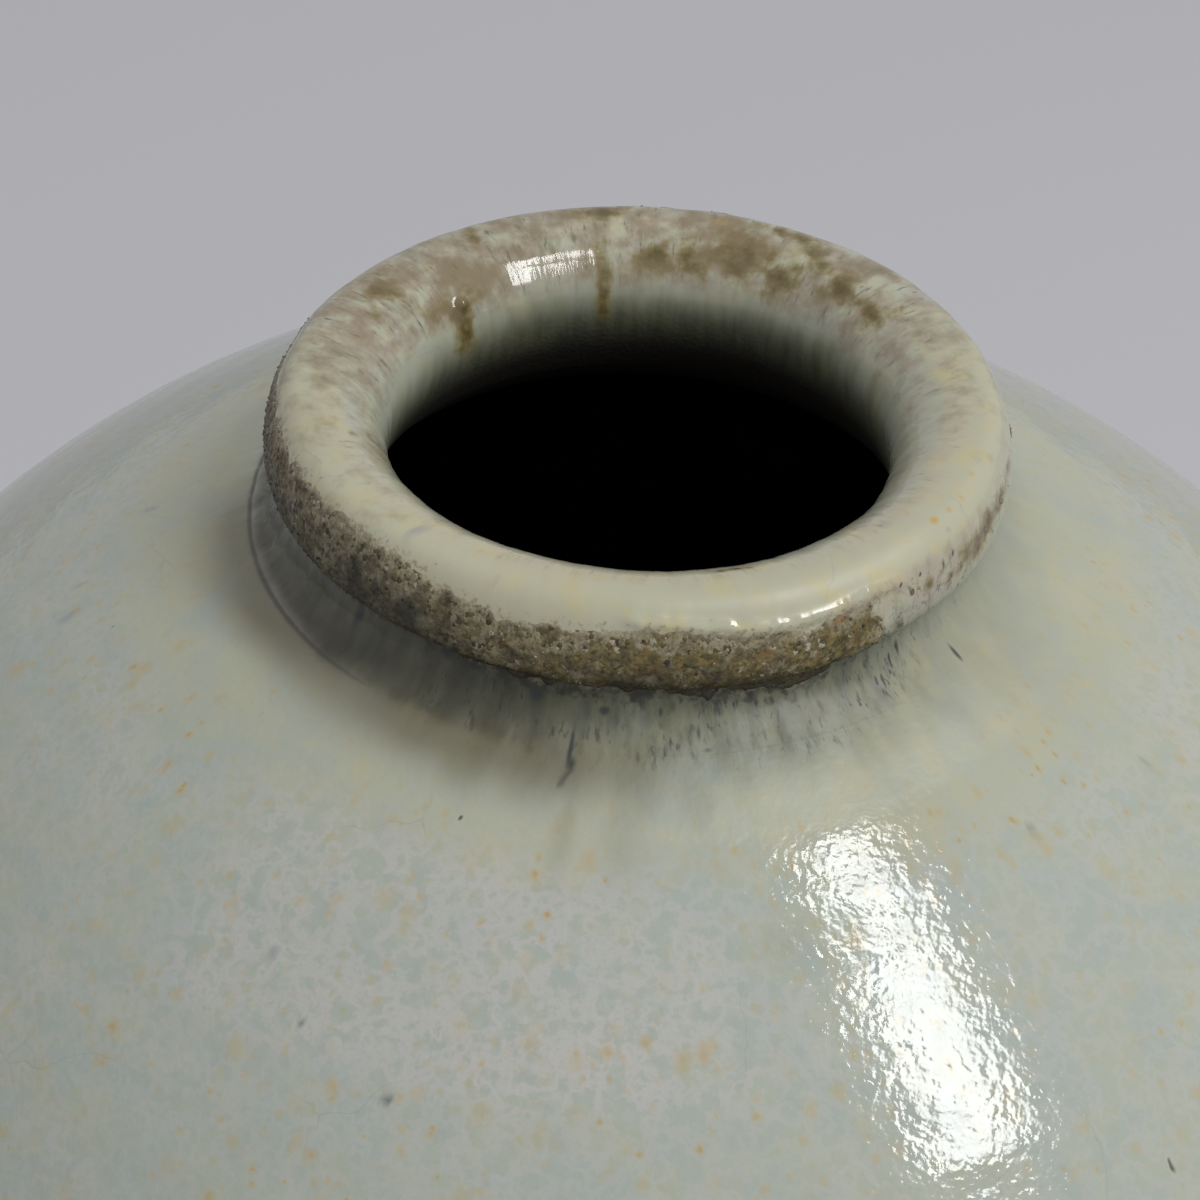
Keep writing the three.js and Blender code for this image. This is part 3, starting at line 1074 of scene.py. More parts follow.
        # Painted shade: a dark band just below the crust's lower edge, where the crust shades the glaze,
        # broken up by noise in the material.
        shade_below_crust = band(mm, low_edge - 0.4, low_edge + 1, 3.2) * (1 - inner)
        paint("shade_below_crust", shade_below_crust * (1 - 0.3 * arc(angles, -46, 10, 8)))
        matt = band(mm, -8, 8, 3) * (1 - crisp) * arc(angles, -120, 0, 30)
        calm = band(mm, high_edge + 1.7, high_edge + 5.5, 0.5) * arc(angles, -86, -42, 8)
        paint("dull", np.maximum(matt, calm))
        facing = 0.25 + 0.75 * arc(angles, -112, -48, 16)
        paint("drips", band(mm, low_edge - 5.5, low_edge + 1, 5) * facing * (0.8 + 0.6 * drift))
        paint("singe", band(mm, low_edge, high_edge + 0.3, 1.5) * (mm < crest + 2))
        # Painted shade: past the throat the inside is laid near black, as the narrow mouth leaves it unlit.
        throat = path.inner_run(path.form.lip_level) / MM
        paint("inside", smooth_step(throat - 1.6, throat + 7, mm - 0.6 * shift))
        paint("bare", bare + np.zeros(len(mm)))


# Finishes.


class GlazeEffects:
    """The shader node groups that several finishes share, each built once."""

    def __init__(self) -> None:
        """Builds the groups. Each has a Vector input besides those that are named."""
        self.groups = {
            name: self._group(name, inputs, outputs, build)
            for name, inputs, outputs, build in (
                ("mottle", ("Scale", "Detail", "Low", "High"), ("Mask",), self._mottle),
                ("speckle", ("Scale", "Radius", "Softness", "Share"), ("Mask", "Tone"), self._speckle),
                ("milky_web", ("Scale", "Width"), ("Mask",), self._web),
                ("crackle", ("Scale", "Width", "Share"), ("Mask",), self._crackle),
                ("fired_skin", ("Fine Scale", "Fine Share", "Swell Scale"), ("Height",), self._skin),
                ("grit_cells", ("Scale",), ("Pick", "Height"), self._grit),
            )
        }

    @staticmethod
    def _group(name: str, inputs: Names, outputs: Names, build: Filling) -> bpy.types.NodeTree:
        """Makes a group with a Vector input, number inputs and number outputs.

        Args:
            name: the group's name.
            inputs: names of its number inputs.
            outputs: names of its number outputs.
            build: the function that fills it, which gets a board and the group's inputs.

        Returns:
            The finished group.
        """
        tree = bpy.data.node_groups.new(name, "ShaderNodeTree")
        tree.interface.new_socket("Vector", in_out="INPUT", socket_type="NodeSocketVector")
        for way, names in (("INPUT", inputs), ("OUTPUT", outputs)):
            for socket in names:
                tree.interface.new_socket(socket, in_out=way, socket_type="NodeSocketFloat")
        board = Board(tree)
        results = build(board, board.add("NodeGroupInput").outputs)
        board.feed(board.add("NodeGroupOutput"), dict(zip(outputs, results)))
        return tree

    @staticmethod
    def _bent(board: Board, given: Outputs, finer: float, reach: float, detail: float) -> Socket:
        """The group's Vector, bent by noise.

        Args:
            board: the group's board.
            given: the group's inputs.
            finer: how many times finer than Scale the noise is.
            reach: how far it bends, as a share of a cell.
            detail: the noise's detail.

        Returns:
            The bent places.
        """
        scale = board.product(given["Scale"], finer)
        bend = board.add("ShaderNodeTexNoise", Vector=given["Vector"], Scale=scale, Detail=detail).outputs[1]
        middle = board.vector("SUBTRACT", bend, (0.5, 0.5, 0.5))
        shift = board.scaled(middle, board.math("DIVIDE", reach, given["Scale"]))
        return board.vector("ADD", given["Vector"], shift)

    @staticmethod
    def _mottle(board: Board, given: Outputs) -> tuple[Socket, ...]:
        """Soft patches: noise eased between two levels."""
        cloud = board.noise(given["Vector"], given["Scale"], given["Detail"], 0.55)
        return (board.ease(cloud, given["Low"], given["High"]),)

    @classmethod
    def _speckle(cls, board: Board, given: Outputs) -> tuple[Socket, ...]:
        """Separate spots of uneven size, on a share of the cells.

        Args:
            board: the group's board.
            given: the group's inputs.

        Returns:
            The spots' mask, and a number from 0 to 1 for each spot.
        """
        places = cls._bent(board, given, 3.0, 0.35, 2.0)
        cells = board.add("ShaderNodeTexVoronoi", Vector=places, Scale=given["Scale"]).outputs
        picks = board.add("ShaderNodeSeparateColor", Color=cells["Color"]).outputs
        radius = board.product(given["Radius"], board.ease(picks[1], 0.0, 1.0, 0.4, 1.0))
        inner = board.product(radius, board.math("SUBTRACT", 1.0, given["Softness"]))
        spot = board.ease(cells["Distance"], radius, inner)
        return board.product(spot, board.math("LESS_THAN", picks[0], given["Share"])), picks[2]

    @staticmethod
    def _web(board: Board, given: Outputs) -> tuple[Socket, ...]:
        """A net of milky threads round clearer pools."""
        cloud = board.noise(given["Vector"], given["Scale"], 5.0, 0.6)
        ridge = board.math("ABSOLUTE", board.math("SUBTRACT", cloud, 0.5))
        return (board.ease(ridge, given["Width"], 0.0),)

    @classmethod
    def _crackle(cls, board: Board, given: Outputs) -> tuple[Socket, ...]:
        """Hairlines of crazing that come and go.

        Args:
            board: the group's board.
            given: the group's inputs.

        Returns:
            The hairlines' mask.
        """
        places = cls._bent(board, given, 1.6, 0.55, 3.0)
        to_edge = {"feature": "DISTANCE_TO_EDGE"}
        edges = board.add("ShaderNodeTexVoronoi", to_edge, Vector=places, Scale=given["Scale"]).outputs
        line = board.ease(edges["Distance"], given["Width"], 0.0)
        shown = board.noise(given["Vector"], board.product(given["Scale"], 0.7), 1.0)
        limit = board.math("SUBTRACT", 1.0, given["Share"])
        return (board.product(line, board.ease(shown, limit, board.total(limit, 0.12))),)

    @staticmethod
    def _skin(board: Board, given: Outputs) -> tuple[Socket, ...]:
        """The height of a fired glaze's skin: fine dimples on slow swells."""
        fine = board.noise(given["Vector"], given["Fine Scale"], 1.6, 0.5)
        swell = board.noise(given["Vector"], given["Swell Scale"], 2.0, 0.45)
        return (board.total(board.product(fine, given["Fine Share"]), swell),)

    @staticmethod
    def _grit(board: Board, given: Outputs) -> tuple[Socket, ...]:
        """Packed grains: a random pick for each, and its rounded height."""
        cells = board.add("ShaderNodeTexVoronoi", Vector=given["Vector"], Scale=given["Scale"]).outputs
        picks = board.add("ShaderNodeSeparateColor", Color=cells["Color"]).outputs
        return picks[0], board.ease(cells["Distance"], 0.75, 0.0)


class Coat(Board):
    """The nodes of one material, and the colour that has been laid on so far."""

    def __init__(self, name: str, ground: Tone, effects: GlazeEffects | None = None) -> None:
        """Starts a material with one Principled shader.

        Args:
            name: the material's name.
            ground: the first colour.
            effects: the shared node groups, where the coat uses them.
        """
        self.material = bpy.data.materials.new(name)
        self.material.use_nodes = True
        super().__init__(self.material.node_tree)
        self.tree.nodes.clear()
        self.effects = effects
        self.colour: Tone | Socket = ground
        self.shader = self.add("ShaderNodeBsdfPrincipled")
        self.add("ShaderNodeOutputMaterial", Surface=self.shader.outputs[0])
        self.place = self.add("ShaderNodeTexCoord").outputs["Object"]

    def lay(self, tone: Tone | Socket, *masks: object) -> None:
        """Lays a colour on, as far as the masks multiplied together say."""
        self.colour = self.mix(self.product(*masks), self.colour, tone)

    def painted(self, name: str) -> Socket:
        """The number that a surface carries under a name."""
        return self.add("ShaderNodeAttribute", {"attribute_name": name}).outputs["Fac"]

    def effect(self, name: str, **inputs: object) -> Outputs:
        """Places a shared effect with its own values, and gives its outputs."""
        inputs.setdefault("Vector", self.place)
        return self.add("ShaderNodeGroup", {"node_tree": self.effects.groups[name]}, **inputs).outputs

    def mottle(self, size: float, detail: float, low: float, high: float, **place: Socket) -> Socket:
        """A mask of soft patches.

        Args:
            size: the patches' rough size in millimetres.
            detail: the noise's detail.
            low: the level of noise where the patches start.
            high: the level where they are full.
            place: Vector, where they don't follow the Object coordinates.

        Returns:
            The mask.
        """
        return self.effect("mottle", Scale=1 / (size * MM), Detail=detail, Low=low, High=high, **place)[0]

    def speckle(
        self, size: float, radius: float, softness: float, share: float, place: Socket
    ) -> Outputs:
        """Separate spots: their mask, and a number from 0 to 1 for each.

        Args:
            size: the cells' size in millimetres.
            radius: the largest spot's radius, as a share of a cell.
            softness: the share of a spot over which it fades.
            share: the share of cells with a spot.
            place: the coordinates that the spots follow.

        Returns:
            The effect's outputs.
        """
        sizes = {"Radius": radius, "Softness": softness, "Share": share}
        return self.effect("speckle", Vector=place, Scale=1 / (size * MM), **sizes)

    def bump(
        self, distance: float, height: Socket, strength: float | Socket = 1.0, **under: Socket
    ) -> Socket:
        """Normals of a relief.

        Args:
            distance: the relief's height in millimetres.
            height: its shape.
            strength: how strong it is.
            under: Normal, the normals of a relief that it lies on.

        Returns:
            The normals.
        """
        node = self.add("ShaderNodeBump", Strength=strength, Distance=distance * MM, Height=height, **under)
        return node.outputs[0]

    def fire(self, roughness: Socket, normal: Socket) -> bpy.types.Material:
        """Feeds the coat to the shader, and gives the finished material."""
        finish = {"Base Color": self.colour, "Roughness": roughness, "Normal": normal, "IOR": IOR}
        self.feed(self.shader, finish)
        return self.material


@dataclass(frozen=True)
class AshGlaze:
    """The pale ash glaze, with the ash, iron, grit and run marks that the kiln left in it, and painted shade.
    """

    celadon: Tone = Tone(168, 173, 156)
    blue_grey: Tone = Tone(161, 170, 162)
    milky: Tone = Tone(188, 184, 180)
    cream: Tone = Tone(180, 177, 150)
    straw: Tone = Tone(188, 177, 132)
    ochre: Tone = Tone(179, 161, 118)
    heart: Tone = Tone(160, 136, 88)
    iron: Tone = Tone(62, 58, 44)
    violet: Tone = Tone(134, 134, 142)
    # The colour of the painted shadow and the stains round the foot of the neck.
    smudge_and_shadow: Tone = Tone(96, 87, 62)
    # The pool's colours, dark enough to hold painted shade where the lip shades the neck.
    pool: Tone = Tone(82, 83, 53)
    deep_pool: Tone = Tone(50, 52, 34)
    throat_pool: Tone = Tone(99, 102, 78)
    blue_black: Tone = Tone(40, 48, 48)
    blush: Tone = Tone(164, 150, 136)
    streak: Tone = Tone(92, 96, 86)
    ash: Tone = Tone(84, 70, 30)
    ash_rim: Tone = Tone(130, 116, 72)
    tan: Tone = Tone(126, 113, 84)
    # The dark of the painted shade on the neck's left and below the crust.
    shade_dark: Tone = Tone(44, 42, 32)
    rust: Tone = Tone(186, 148, 74)
    singe: Tone = Tone(134, 122, 96)
    hairline: Tone = Tone(130, 134, 130)
    clay: Tone = Tone(128, 104, 80)
    burnt: Tone = Tone(104, 66, 38)
    # The near black of the painted shade inside the jar.
    dark: Tone = Tone(30, 27, 22)
    flow_radius: float = 52.0 * MM
    flow_stretch: float = 0.42
    roughness: float = 0.08
    clay_roughness: float = 0.8

    def material(self, effects: GlazeEffects) -> bpy.types.Material:
        """Builds the material.

        Args:
            effects: the shared node groups.

        Returns:
            The finished material.
        """
        coat = Coat("ash_glaze", self.celadon, effects)
        flow = self._flow(coat)
        self._ground(coat)
        self._shoulder(coat, flow)
        self._neck(coat, flow)
        self._lip(coat, flow)
        self._placed_marks(coat)
        bare = self._bare_clay(coat)
        grain = coat.noise(coat.place, 1 / (2.5 * MM), 2.0)
        polish = coat.ease(grain, 0.3, 0.7, self.roughness - 0.02, self.roughness + 0.05)
        polish = coat.total(polish, coat.product(coat.painted("dull"), 0.38))
        rough = coat.add("ShaderNodeMix", {"data_type": "FLOAT"})
        coat.feed(rough, {0: bare, 2: polish, 3: self.clay_roughness})
        return coat.fire(rough.outputs[0], self._relief(coat, flow, bare))

    def _flow(self, coat: Coat) -> Socket:
        """Places whose lines of equal angle are straight, so that runs and streaks follow the fall.

        Args:
            coat: the glaze's coat.

        Returns:
            The places.
        """
        parts = coat.add("ShaderNodeSeparateXYZ", Vector=coat.place).outputs
        level = coat.add("ShaderNodeCombineXYZ", X=parts["X"], Y=parts["Y"]).outputs[0]
        ring = coat.scaled(coat.vector("NORMALIZE", level), self.flow_radius)
        fall = coat.add("ShaderNodeCombineXYZ", Z=coat.product(coat.painted("run"), self.flow_stretch))
        return coat.vector("ADD", ring, fall.outputs[0])

    def _ground(self, coat: Coat) -> None:
        """The glaze's own colour: grey-green with bluer clouds, and cream where ash lay thick.

        Args:
            coat: the glaze's coat.
        """
        coat.lay(self.blue_grey, coat.mottle(6, 4, 0.38, 0.66))
        thick = coat.mottle(14, 4, 0.2, 0.75)
        coat.lay(self.cream, coat.painted("cream"), coat.ease(thick, 0.0, 1.0, 0.75, 1.1))
        coat.lay(self.straw, coat.mottle(4, 2, 0.5, 0.72), coat.painted("cream"), 0.7)

    def _shoulder(self, coat: Coat, flow: Socket) -> None:
        """Milky threads, ochre and iron spots and crazing on the shoulder.

        Args:
            coat: the glaze's coat.
            flow: places that follow the fall.
        """
        cloud = coat.painted("cloud")
        web = coat.effect("milky_web", Scale=1 / (2.9 * MM), Width=0.11)[0]
        milk = coat.math("MAXIMUM", web, coat.product(coat.mottle(2, 4, 0.44, 0.7), cloud))
        coat.lay(self.blue_grey, cloud, 0.45)
        coat.lay(self.milky, milk, cloud, 0.7)
        gathered = coat.mottle(14, 2, 0.36, 0.62)
        outer = coat.math("SUBTRACT", 1.0, coat.painted("pool"), clamp=True)
        shoulder = coat.ease(coat.painted("run"), -14 * MM, 2 * MM, 1.0, 0.25)
        place = coat.vector("MULTIPLY", flow, (1.0, 1.0, 1.45))
        for size, radius, softness, share, strength in (
            (3.0, 0.44, 0.95, 0.85, 0.75),
            (2.0, 0.44, 0.95, 0.9, 0.9),
            (1.35, 0.42, 0.9, 0.8, 0.9),
        ):
            spots = coat.speckle(size, radius, softness, share, place)
            faint = coat.ease(spots[1], 0.0, 1.0, 0.5, 1.0)
            lain = coat.total(0.4, coat.product(gathered, 0.6))
            spot = coat.product(spots[0], faint, lain, outer, shoulder, strength)
            coat.lay(self.ochre, spot)
            coat.lay(self.heart, coat.ease(spot, 0.5, 0.85, 0.0, 0.4))
        coat.lay(self.violet, coat.speckle(6.5, 0.22, 0.9, 0.12, flow)[0], 0.5)
        coat.lay(self.iron, coat.speckle(4.2, 0.08, 0.6, 0.2, flow)[0], 0.8)
        hairs = coat.effect("crackle", Scale=1 / (15 * MM), Width=0.008, Share=0.42)[0]
        coat.lay(self.hairline, hairs, 0.24)

    def _neck(self, coat: Coat, flow: Socket) -> None:
        """The glassy pool under the lip and in the throat, partly painted shade, with its blue-black runs.

        Args:
            coat: the glaze's coat.
            flow: places that follow the fall.
        """
        pool, drips = coat.painted("pool"), coat.painted("drips")
        shade = coat.mottle(2.2, 3, 0.35, 0.7, Vector=flow)
        outside = coat.mix(shade, self.pool, self.deep_pool)
        throat = coat.mix(coat.product(shade, 0.75), self.throat_pool, self.deep_pool)
        within = coat.ease(coat.painted("run"), 18 * MM, 22 * MM)
        coat.lay(coat.mix(within, outside, throat), pool, 0.88)
        fall = coat.vector("MULTIPLY", flow, (1.0, 1.0, 1.1))
        for size, low, strength in ((1.9, 0.60, 0.8), (1.1, 0.58, 0.9), (0.62, 0.58, 0.85)):
            dashes = coat.mottle(size, 3, low, low + 0.1, Vector=fall)
            patch = coat.mottle(3.2 * size, 2, 0.42, 0.56, Vector=flow)
            coat.lay(self.blue_black, dashes, patch, drips, strength)
        coat.lay(self.deep_pool, coat.mottle(1.6, 3, 0.45, 0.75, Vector=fall), drips, 0.5)

    def _lip(self, coat: Coat, flow: Socket) -> None:
        """Blush and short dark streaks down the lip's inner slope, and blue specks along its crust.

        Args:
            coat: the glaze's coat.
            flow: places that follow the fall.
        """
        blush = coat.painted("blush")
        coat.lay(self.blush, blush, coat.mottle(3, 3, 0.3, 0.62), 0.9)
        coat.lay(self.throat_pool, coat.mottle(1.9, 3, 0.48, 0.72, Vector=flow), blush, 0.5)
        inner = coat.ease(coat.painted("run"), 16 * MM, 18.5 * MM, 0.25, 1.0)
        coat.lay(self.streak, coat.mottle(0.9, 3, 0.58, 0.72, Vector=flow), blush, inner, 0.85)
        near = coat.ease(coat.painted("singe"), 0.0, 0.4, 0.08, 1.0)
        blue = coat.speckle(0.85, 0.30, 0.6, 0.55, coat.place)[0]
        coat.lay(self.violet, blue, coat.painted("cream"), near, 0.85)

    def _placed_marks(self, coat: Coat) -> None:
        """The stain, ash, rust, iron, tan and singe that each lie at their own place, and painted shadow and
        shade.

        Args:
            coat: the glaze's coat.
        """
        # Painted shadow and stains round the foot of the neck.
        coat.lay(self.smudge_and_shadow, coat.painted("stain_and_shadow"), 0.65)
        lain = coat.painted("ash")
        broken = coat.math("SUBTRACT", coat.mottle(2.4, 4, 0.25, 0.75), 0.5)
        ash = coat.total(lain, coat.product(coat.product(broken, coat.ease(lain, 0.0, 0.25)), 0.9))
        coat.lay(self.ash_rim, coat.ease(ash, 0.05, 0.75, 0.0, 0.8))
        coat.lay(self.ash, coat.ease(ash, 0.4, 1.2, 0.0, 0.95))
        # The first and the last row lay painted shade: the neck's left in the lip's shadow, and the band
        # below the crust.
        for name, tone, size, uneven, low, high, strength in (
            ("neck_shade", self.shade_dark, 3.0, 0.5, 0.0, 1.1, 0.74),
            ("tan", self.tan, 3.0, 1.9, 0.3, 1.3, 0.85),
            ("singe", self.singe, 0.8, 2.4, 0.95, 1.45, 0.75),
            ("shade_below_crust", self.shade_dark, 1.1, 2.6, 0.7, 1.4, 0.9),
        ):
            lain = coat.painted(name)
            grain = coat.math("SUBTRACT", coat.noise(coat.place, 1 / (size * MM), 3.0, 0.6), 0.5)
            level = coat.total(lain, coat.product(grain, uneven, coat.ease(lain, 0.0, 0.3)))
            coat.lay(tone, coat.ease(level, low, high, 0.0, strength))
        coat.lay(self.rust, coat.ease(coat.painted("rust"), 0.08, 0.95, 0.0, 0.85))
        coat.lay(self.blue_black, coat.ease(coat.painted("iron"), 0.1, 0.7, 0.0, 0.88))

    def _bare_clay(self, coat: Coat) -> Socket:
        """Bare clay at the foot, and the inside laid near black as painted shade, with a dry clay's
        roughness.

        Args:
            coat: the glaze's coat.

        Returns:
            How bare the surface is.
        """
        bare, inside = coat.painted("bare"), coat.painted("inside")
        grains = coat.effect("grit_cells", Scale=1 / (0.7 * MM))[0]
        clay = coat.mix(coat.ease(grains, 0.0, 1.0, 0.0, 0.45), self.clay, self.burnt)
        open_clay = coat.ease(bare, 0.35, 0.6)
        coat.lay(clay, open_clay)
        rim = coat.product(coat.ease(bare, 0.05, 0.4), coat.ease(bare, 0.95, 0.5))
        coat.lay(self.burnt, rim, 0.8)
        # Painted shade: the inside laid near black.
        coat.lay(self.dark, inside)
        return coat.math("MAXIMUM", open_clay, coat.product(inside, 0.8))

    def _relief(self, coat: Coat, flow: Socket, bare: Socket) -> Socket:
        """The skin's dimples and swells, finer than the mesh, and the grain of bare clay.

        Args:
            coat: the glaze's coat.
            flow: places that follow the fall.
            bare: how bare the clay is.

        Returns:
            The normals.
        """
        scales = {"Fine_Scale": 1 / (0.95 * MM), "Swell_Scale": 1 / (3.2 * MM)}
        skin = coat.effect("fired_skin", Fine_Share=0.75, **scales)[0]
        calm = coat.ease(coat.painted("run"), -2 * MM, 8 * MM, 1.0, 0.22)
        runs = coat.noise(flow, 1 / (0.8 * MM), 2.0)
        runny = coat.math("MAXIMUM", coat.painted("blush"), coat.painted("pool"))
        grains = coat.effect("grit_cells", Scale=1 / (0.6 * MM))[1]
        dimples = coat.bump(0.076, skin, calm)
        streaked = coat.bump(0.03, coat.product(runs, runny), Normal=dimples)
        return coat.bump(0.06, coat.product(grains, bare), Normal=streaked)


@dataclass(frozen=True)
class KilnGrit:
    """Kiln grit half melted into ash: each grain takes one of several fired colours, and painted shade
    darkens it.
    """

    name: str
    from_grains: bool
    beige: Tone = Tone(158, 150, 123)
    tan: Tone = Tone(114, 105, 75)
    umber: Tone = Tone(74, 63, 38)
    black: Tone = Tone(36, 33, 24)
    white: Tone = Tone(190, 184, 168)
    olive: Tone = Tone(80, 71, 36)
    gold: Tone = Tone(124, 106, 54)
    scorch: Tone = Tone(124, 90, 38)
    # The dark of the painted shade between grains and on the crust's lower part, also laid as a fine mottle.
    gap: Tone = Tone(38, 35, 23)
    melt: Tone = Tone(166, 158, 138)
    cell: float = 0.45

    def material(self, effects: GlazeEffects) -> bpy.types.Material:
        """Builds the material.

        Args:
            effects: the shared node groups.

        Returns:
            The finished material.
        """
        coat = Coat(self.name, self.tan, effects)
        grains = coat.effect("grit_cells", Scale=1 / (self.cell * MM))
        pick = coat.painted("tone") if self.from_grains else grains[0]
        coat.lay(self.beige, coat.ease(pick, 0.05, 0.55))
        coat.lay(self.umber, coat.ease(pick, 0.2, 0.1))
        coat.lay(self.umber, coat.mottle(1.9, 4, 0.44, 0.62), 0.72)
        patch = coat.ease(coat.mottle(2.6, 4, 0.34, 0.6), 0.0, 1.0, 0.3, 1.2)
        melted = coat.math("MULTIPLY", coat.painted("olive"), patch, clamp=True)
        coat.lay(coat.mix(coat.mottle(1.1, 2, 0.35, 0.65), self.olive, self.gold), melted, 0.92)
        coat.lay(self.white, coat.math("GREATER_THAN", pick, 0.975), 0.6)
        coat.lay(self.black, coat.math("LESS_THAN", pick, 0.02), 0.7)
        coat.lay(self.gap, coat.mottle(0.4, 2, 0.48, 0.72), 0.45)
        if not self.from_grains:
            # Painted shade in the gaps between grains.
            coat.lay(self.gap, coat.painted("gap"), 0.8)
            coat.lay(self.scorch, coat.ease(coat.painted("scorch"), 0.1, 0.8, 0.0, 0.65))
        # Painted shade on the crust's lower part, with its dark pits and marks.
        coat.lay(self.gap, coat.painted("shade"), 0.9)
        coat.lay(self.melt, coat.painted("melted"), 0.7)
        height = coat.total(grains[1], coat.noise(coat.place, 1 / (0.2 * MM), 2.0))
        return coat.fire(coat.ease(pick, 0.0, 1.0, 0.65, 0.38), coat.bump(0.05, height))


# Sub-assemblies.


@dataclass
class Workshop:
    """What every sub-assembly is made with."""

    form: JarForm = field(default_factory=JarForm.from_frame)
    path: TurnedPath = field(init=False)
    hand: HandWork = field(init=False)
    wheel: Wheel = field(default_factory=Wheel)
    grit: GritScatter = field(default_factory=GritScatter)
    effects: GlazeEffects = field(default_factory=GlazeEffects)

    def __post_init__(self) -> None:
        """Lays out the profile and makes the finishes."""
        self.path = TurnedPath(self.form)
        self.hand = HandWork(self.path)
        self.glaze = AshGlaze().material(self.effects)
        self.crust = KilnGrit("ash_crust", False).material(self.effects)
        self.grains = KilnGrit("kiln_grains", True).material(self.effects)

    def section(self, name: str, outer: np.ndarray, inner: np.ndarray, segments: int) -> None:
        """Throws, shapes and paints one section of the wall.

        Args:
            name: the CAD node that the section stands for.
            outer: runs of its outside rings, from low to high.
            inner: runs of its inside rings, from high to low.
            segments: how many steps go round the jar.
        """
        runs = np.concatenate([outer, inner])
        surface = self.wheel.turn(name + "_glazed", self.path.at(runs), runs, segments, self.glaze)
        surface.shape(self.hand, self.hand.relief(surface))
        self.hand.paint_glaze(surface)
        finish_piece(surface.piece, "ash_glaze", name)


def finish_piece(piece: bpy.types.Object, slot: str, *nodes: str) -> None:
    """Smooths a piece's faces but for its hard edges, and fixes it to the jar's body.

    Args:
        piece: the piece.
        slot: the record's material slot. It is not used.
        nodes: the CAD nodes that it stands for.
    """
    piece.data.shade_smooth()
    piece.data.set_sharp_from_angle(angle=HARD_EDGE)
    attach(piece, "root")
    if nodes:
        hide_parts(*nodes)
    log.info("%s: %d faces", piece.name, len(piece.data.polygons))


@dataclass
class Foot:
    """The foot ring that the jar stands on, and the floor slab on it.

    Sizes written with MM are in metres, and the other lengths in millimetres.
    """

    shop: Workshop
    segments: int = 480
    wear: float = 0.9 * MM
    edge_step: float = 0.7 * MM
    edge_points: int = 14
    glaze_edge: float = 3.2
    inner_face: float = 46.0
    outer_face: float = 47.0
    roughening: float = 0.16
    slab_rings: tuple[tuple[float, ...], ...] = ((0, 4, 12, 22, 32, 42), (46, 34, 23, 12, 4, 0))
    sand_density: float = 0.5e6
    sand_sizes: Pair = (0.3, 0.75)
    sand_seed: int = 5

    def ring_profile(self) -> np.ndarray:
        """The foot ring's (radius, height) rows, from its inner resting edge outwards and round."""
        form, wear = self.shop.form, self.wear
        side = np.linspace(0.0, 1.0, self.edge_points)[:, None]
        corners = [
            (form.foot_inner_radius + wear, 0.0),
            (form.foot_radius - wear, 0.0),
            (form.foot_radius - 0.25 * wear, 0.3 * wear),
            (form.foot_radius, wear),
            (form.foot_radius - 0.2 * MM, form.foot_height / 2),
            (form.foot_top_radius, form.foot_height),
            (form.foot_inner_radius, form.foot_height),
            (form.foot_inner_radius, wear),
            (form.foot_inner_radius + 0.3 * wear, 0.25 * wear),
        ]
        rows = []
        for start, end in zip(corners, corners[1:] + corners[:1]):
            a, b = np.array(start), np.array(end)
            count = max(1, round(float(np.linalg.norm(b - a)) / self.edge_step))
            rows.append(a + (b - a) * side[:count] * (len(side) - 1) / count)
        return np.concatenate(rows)

    def make_ring(self) -> bpy.types.Object:
        """The foot ring: bare where it rests, with the glaze's ragged edge on its outside."""
        shop = self.shop
        rows = self.ring_profile()
        runs = np.full(len(rows), shop.path.runs[0] - shop.form.foot_height) + rows[:, 1]
        surface = shop.wheel.turn("foot_ring_fired", rows, runs, self.segments, shop.glaze)
        radius, height = surface.radii() / MM, surface.points[:, 2] / MM
        free = smooth_step(0.0, 0.3, height) * (1.0 - smooth_step(7.0, 7.8, height))
        worn = Grain(1.4, 61).layered(surface.points, 3)
        out = np.where(radius > self.inner_face, 1.0, -1.0) * free * worn * self.roughening
        grown = 1.0 + out / np.maximum(radius, 1.0)
        surface.place(surface.points * np.stack([grown, grown, np.ones(len(grown))], axis=1))
        edge = self.glaze_edge + 1.1 * Grain(11.0, 67).layered(surface.points * (1, 1, 0), 3)
        bare = 1.0 - smooth_step(-0.5, 0.5, height - edge) * (radius > self.outer_face)
        shop.hand.paint_glaze(surface, bare)
        surface.paint("grit", band(height, 0.9, 3.0, 0.6) * (height > 0.6) * bare)
        surface.paint("olive", np.full(len(height), 0.2))
        finish_piece(surface.piece, "bare_clay", "foot_ring")
        return surface.piece

    def make_slab(self) -> None:
        """The floor slab: bare underneath, glazed on its edge and dark inside."""
        shop, form, path = self.shop, self.shop.form, self.shop.path
        outer = spaced(path.runs[0], 1.0, path.outer_run(form.floor_top))
        under, floor = (
            np.array([[radius * MM, height] for radius in radii])
            for radii, height in zip(self.slab_rings, (form.foot_height, form.floor_top))
        )
        rows = np.concatenate([under, path.at(outer), floor])
        runs = np.concatenate([np.full(len(under), path.runs[0]), outer, np.full(len(floor), path.runs[-1])])
        surface = shop.wheel.turn("floor_slab_fired", rows, runs, self.segments, shop.glaze, Closing.POLES)
        low = surface.points[:, 2] < form.foot_height + 0.01 * MM
        under_wall = surface.radii() < form.foot_top_radius - 0.5 * MM
        shop.hand.paint_glaze(surface, (low & under_wall).astype(float))
        finish_piece(surface.piece, "ash_glaze", "floor_slab")

    def make(self) -> None:
        """Builds the foot's pieces."""
        shop, ring = self.shop, self.make_ring()
        self.make_slab()
        sand = shop.grit.scatter(
            "foot_sand", ring, self.sand_density, self.sand_sizes, self.sand_seed, shop.grains
        )
        finish_piece(sand, "bare_clay")


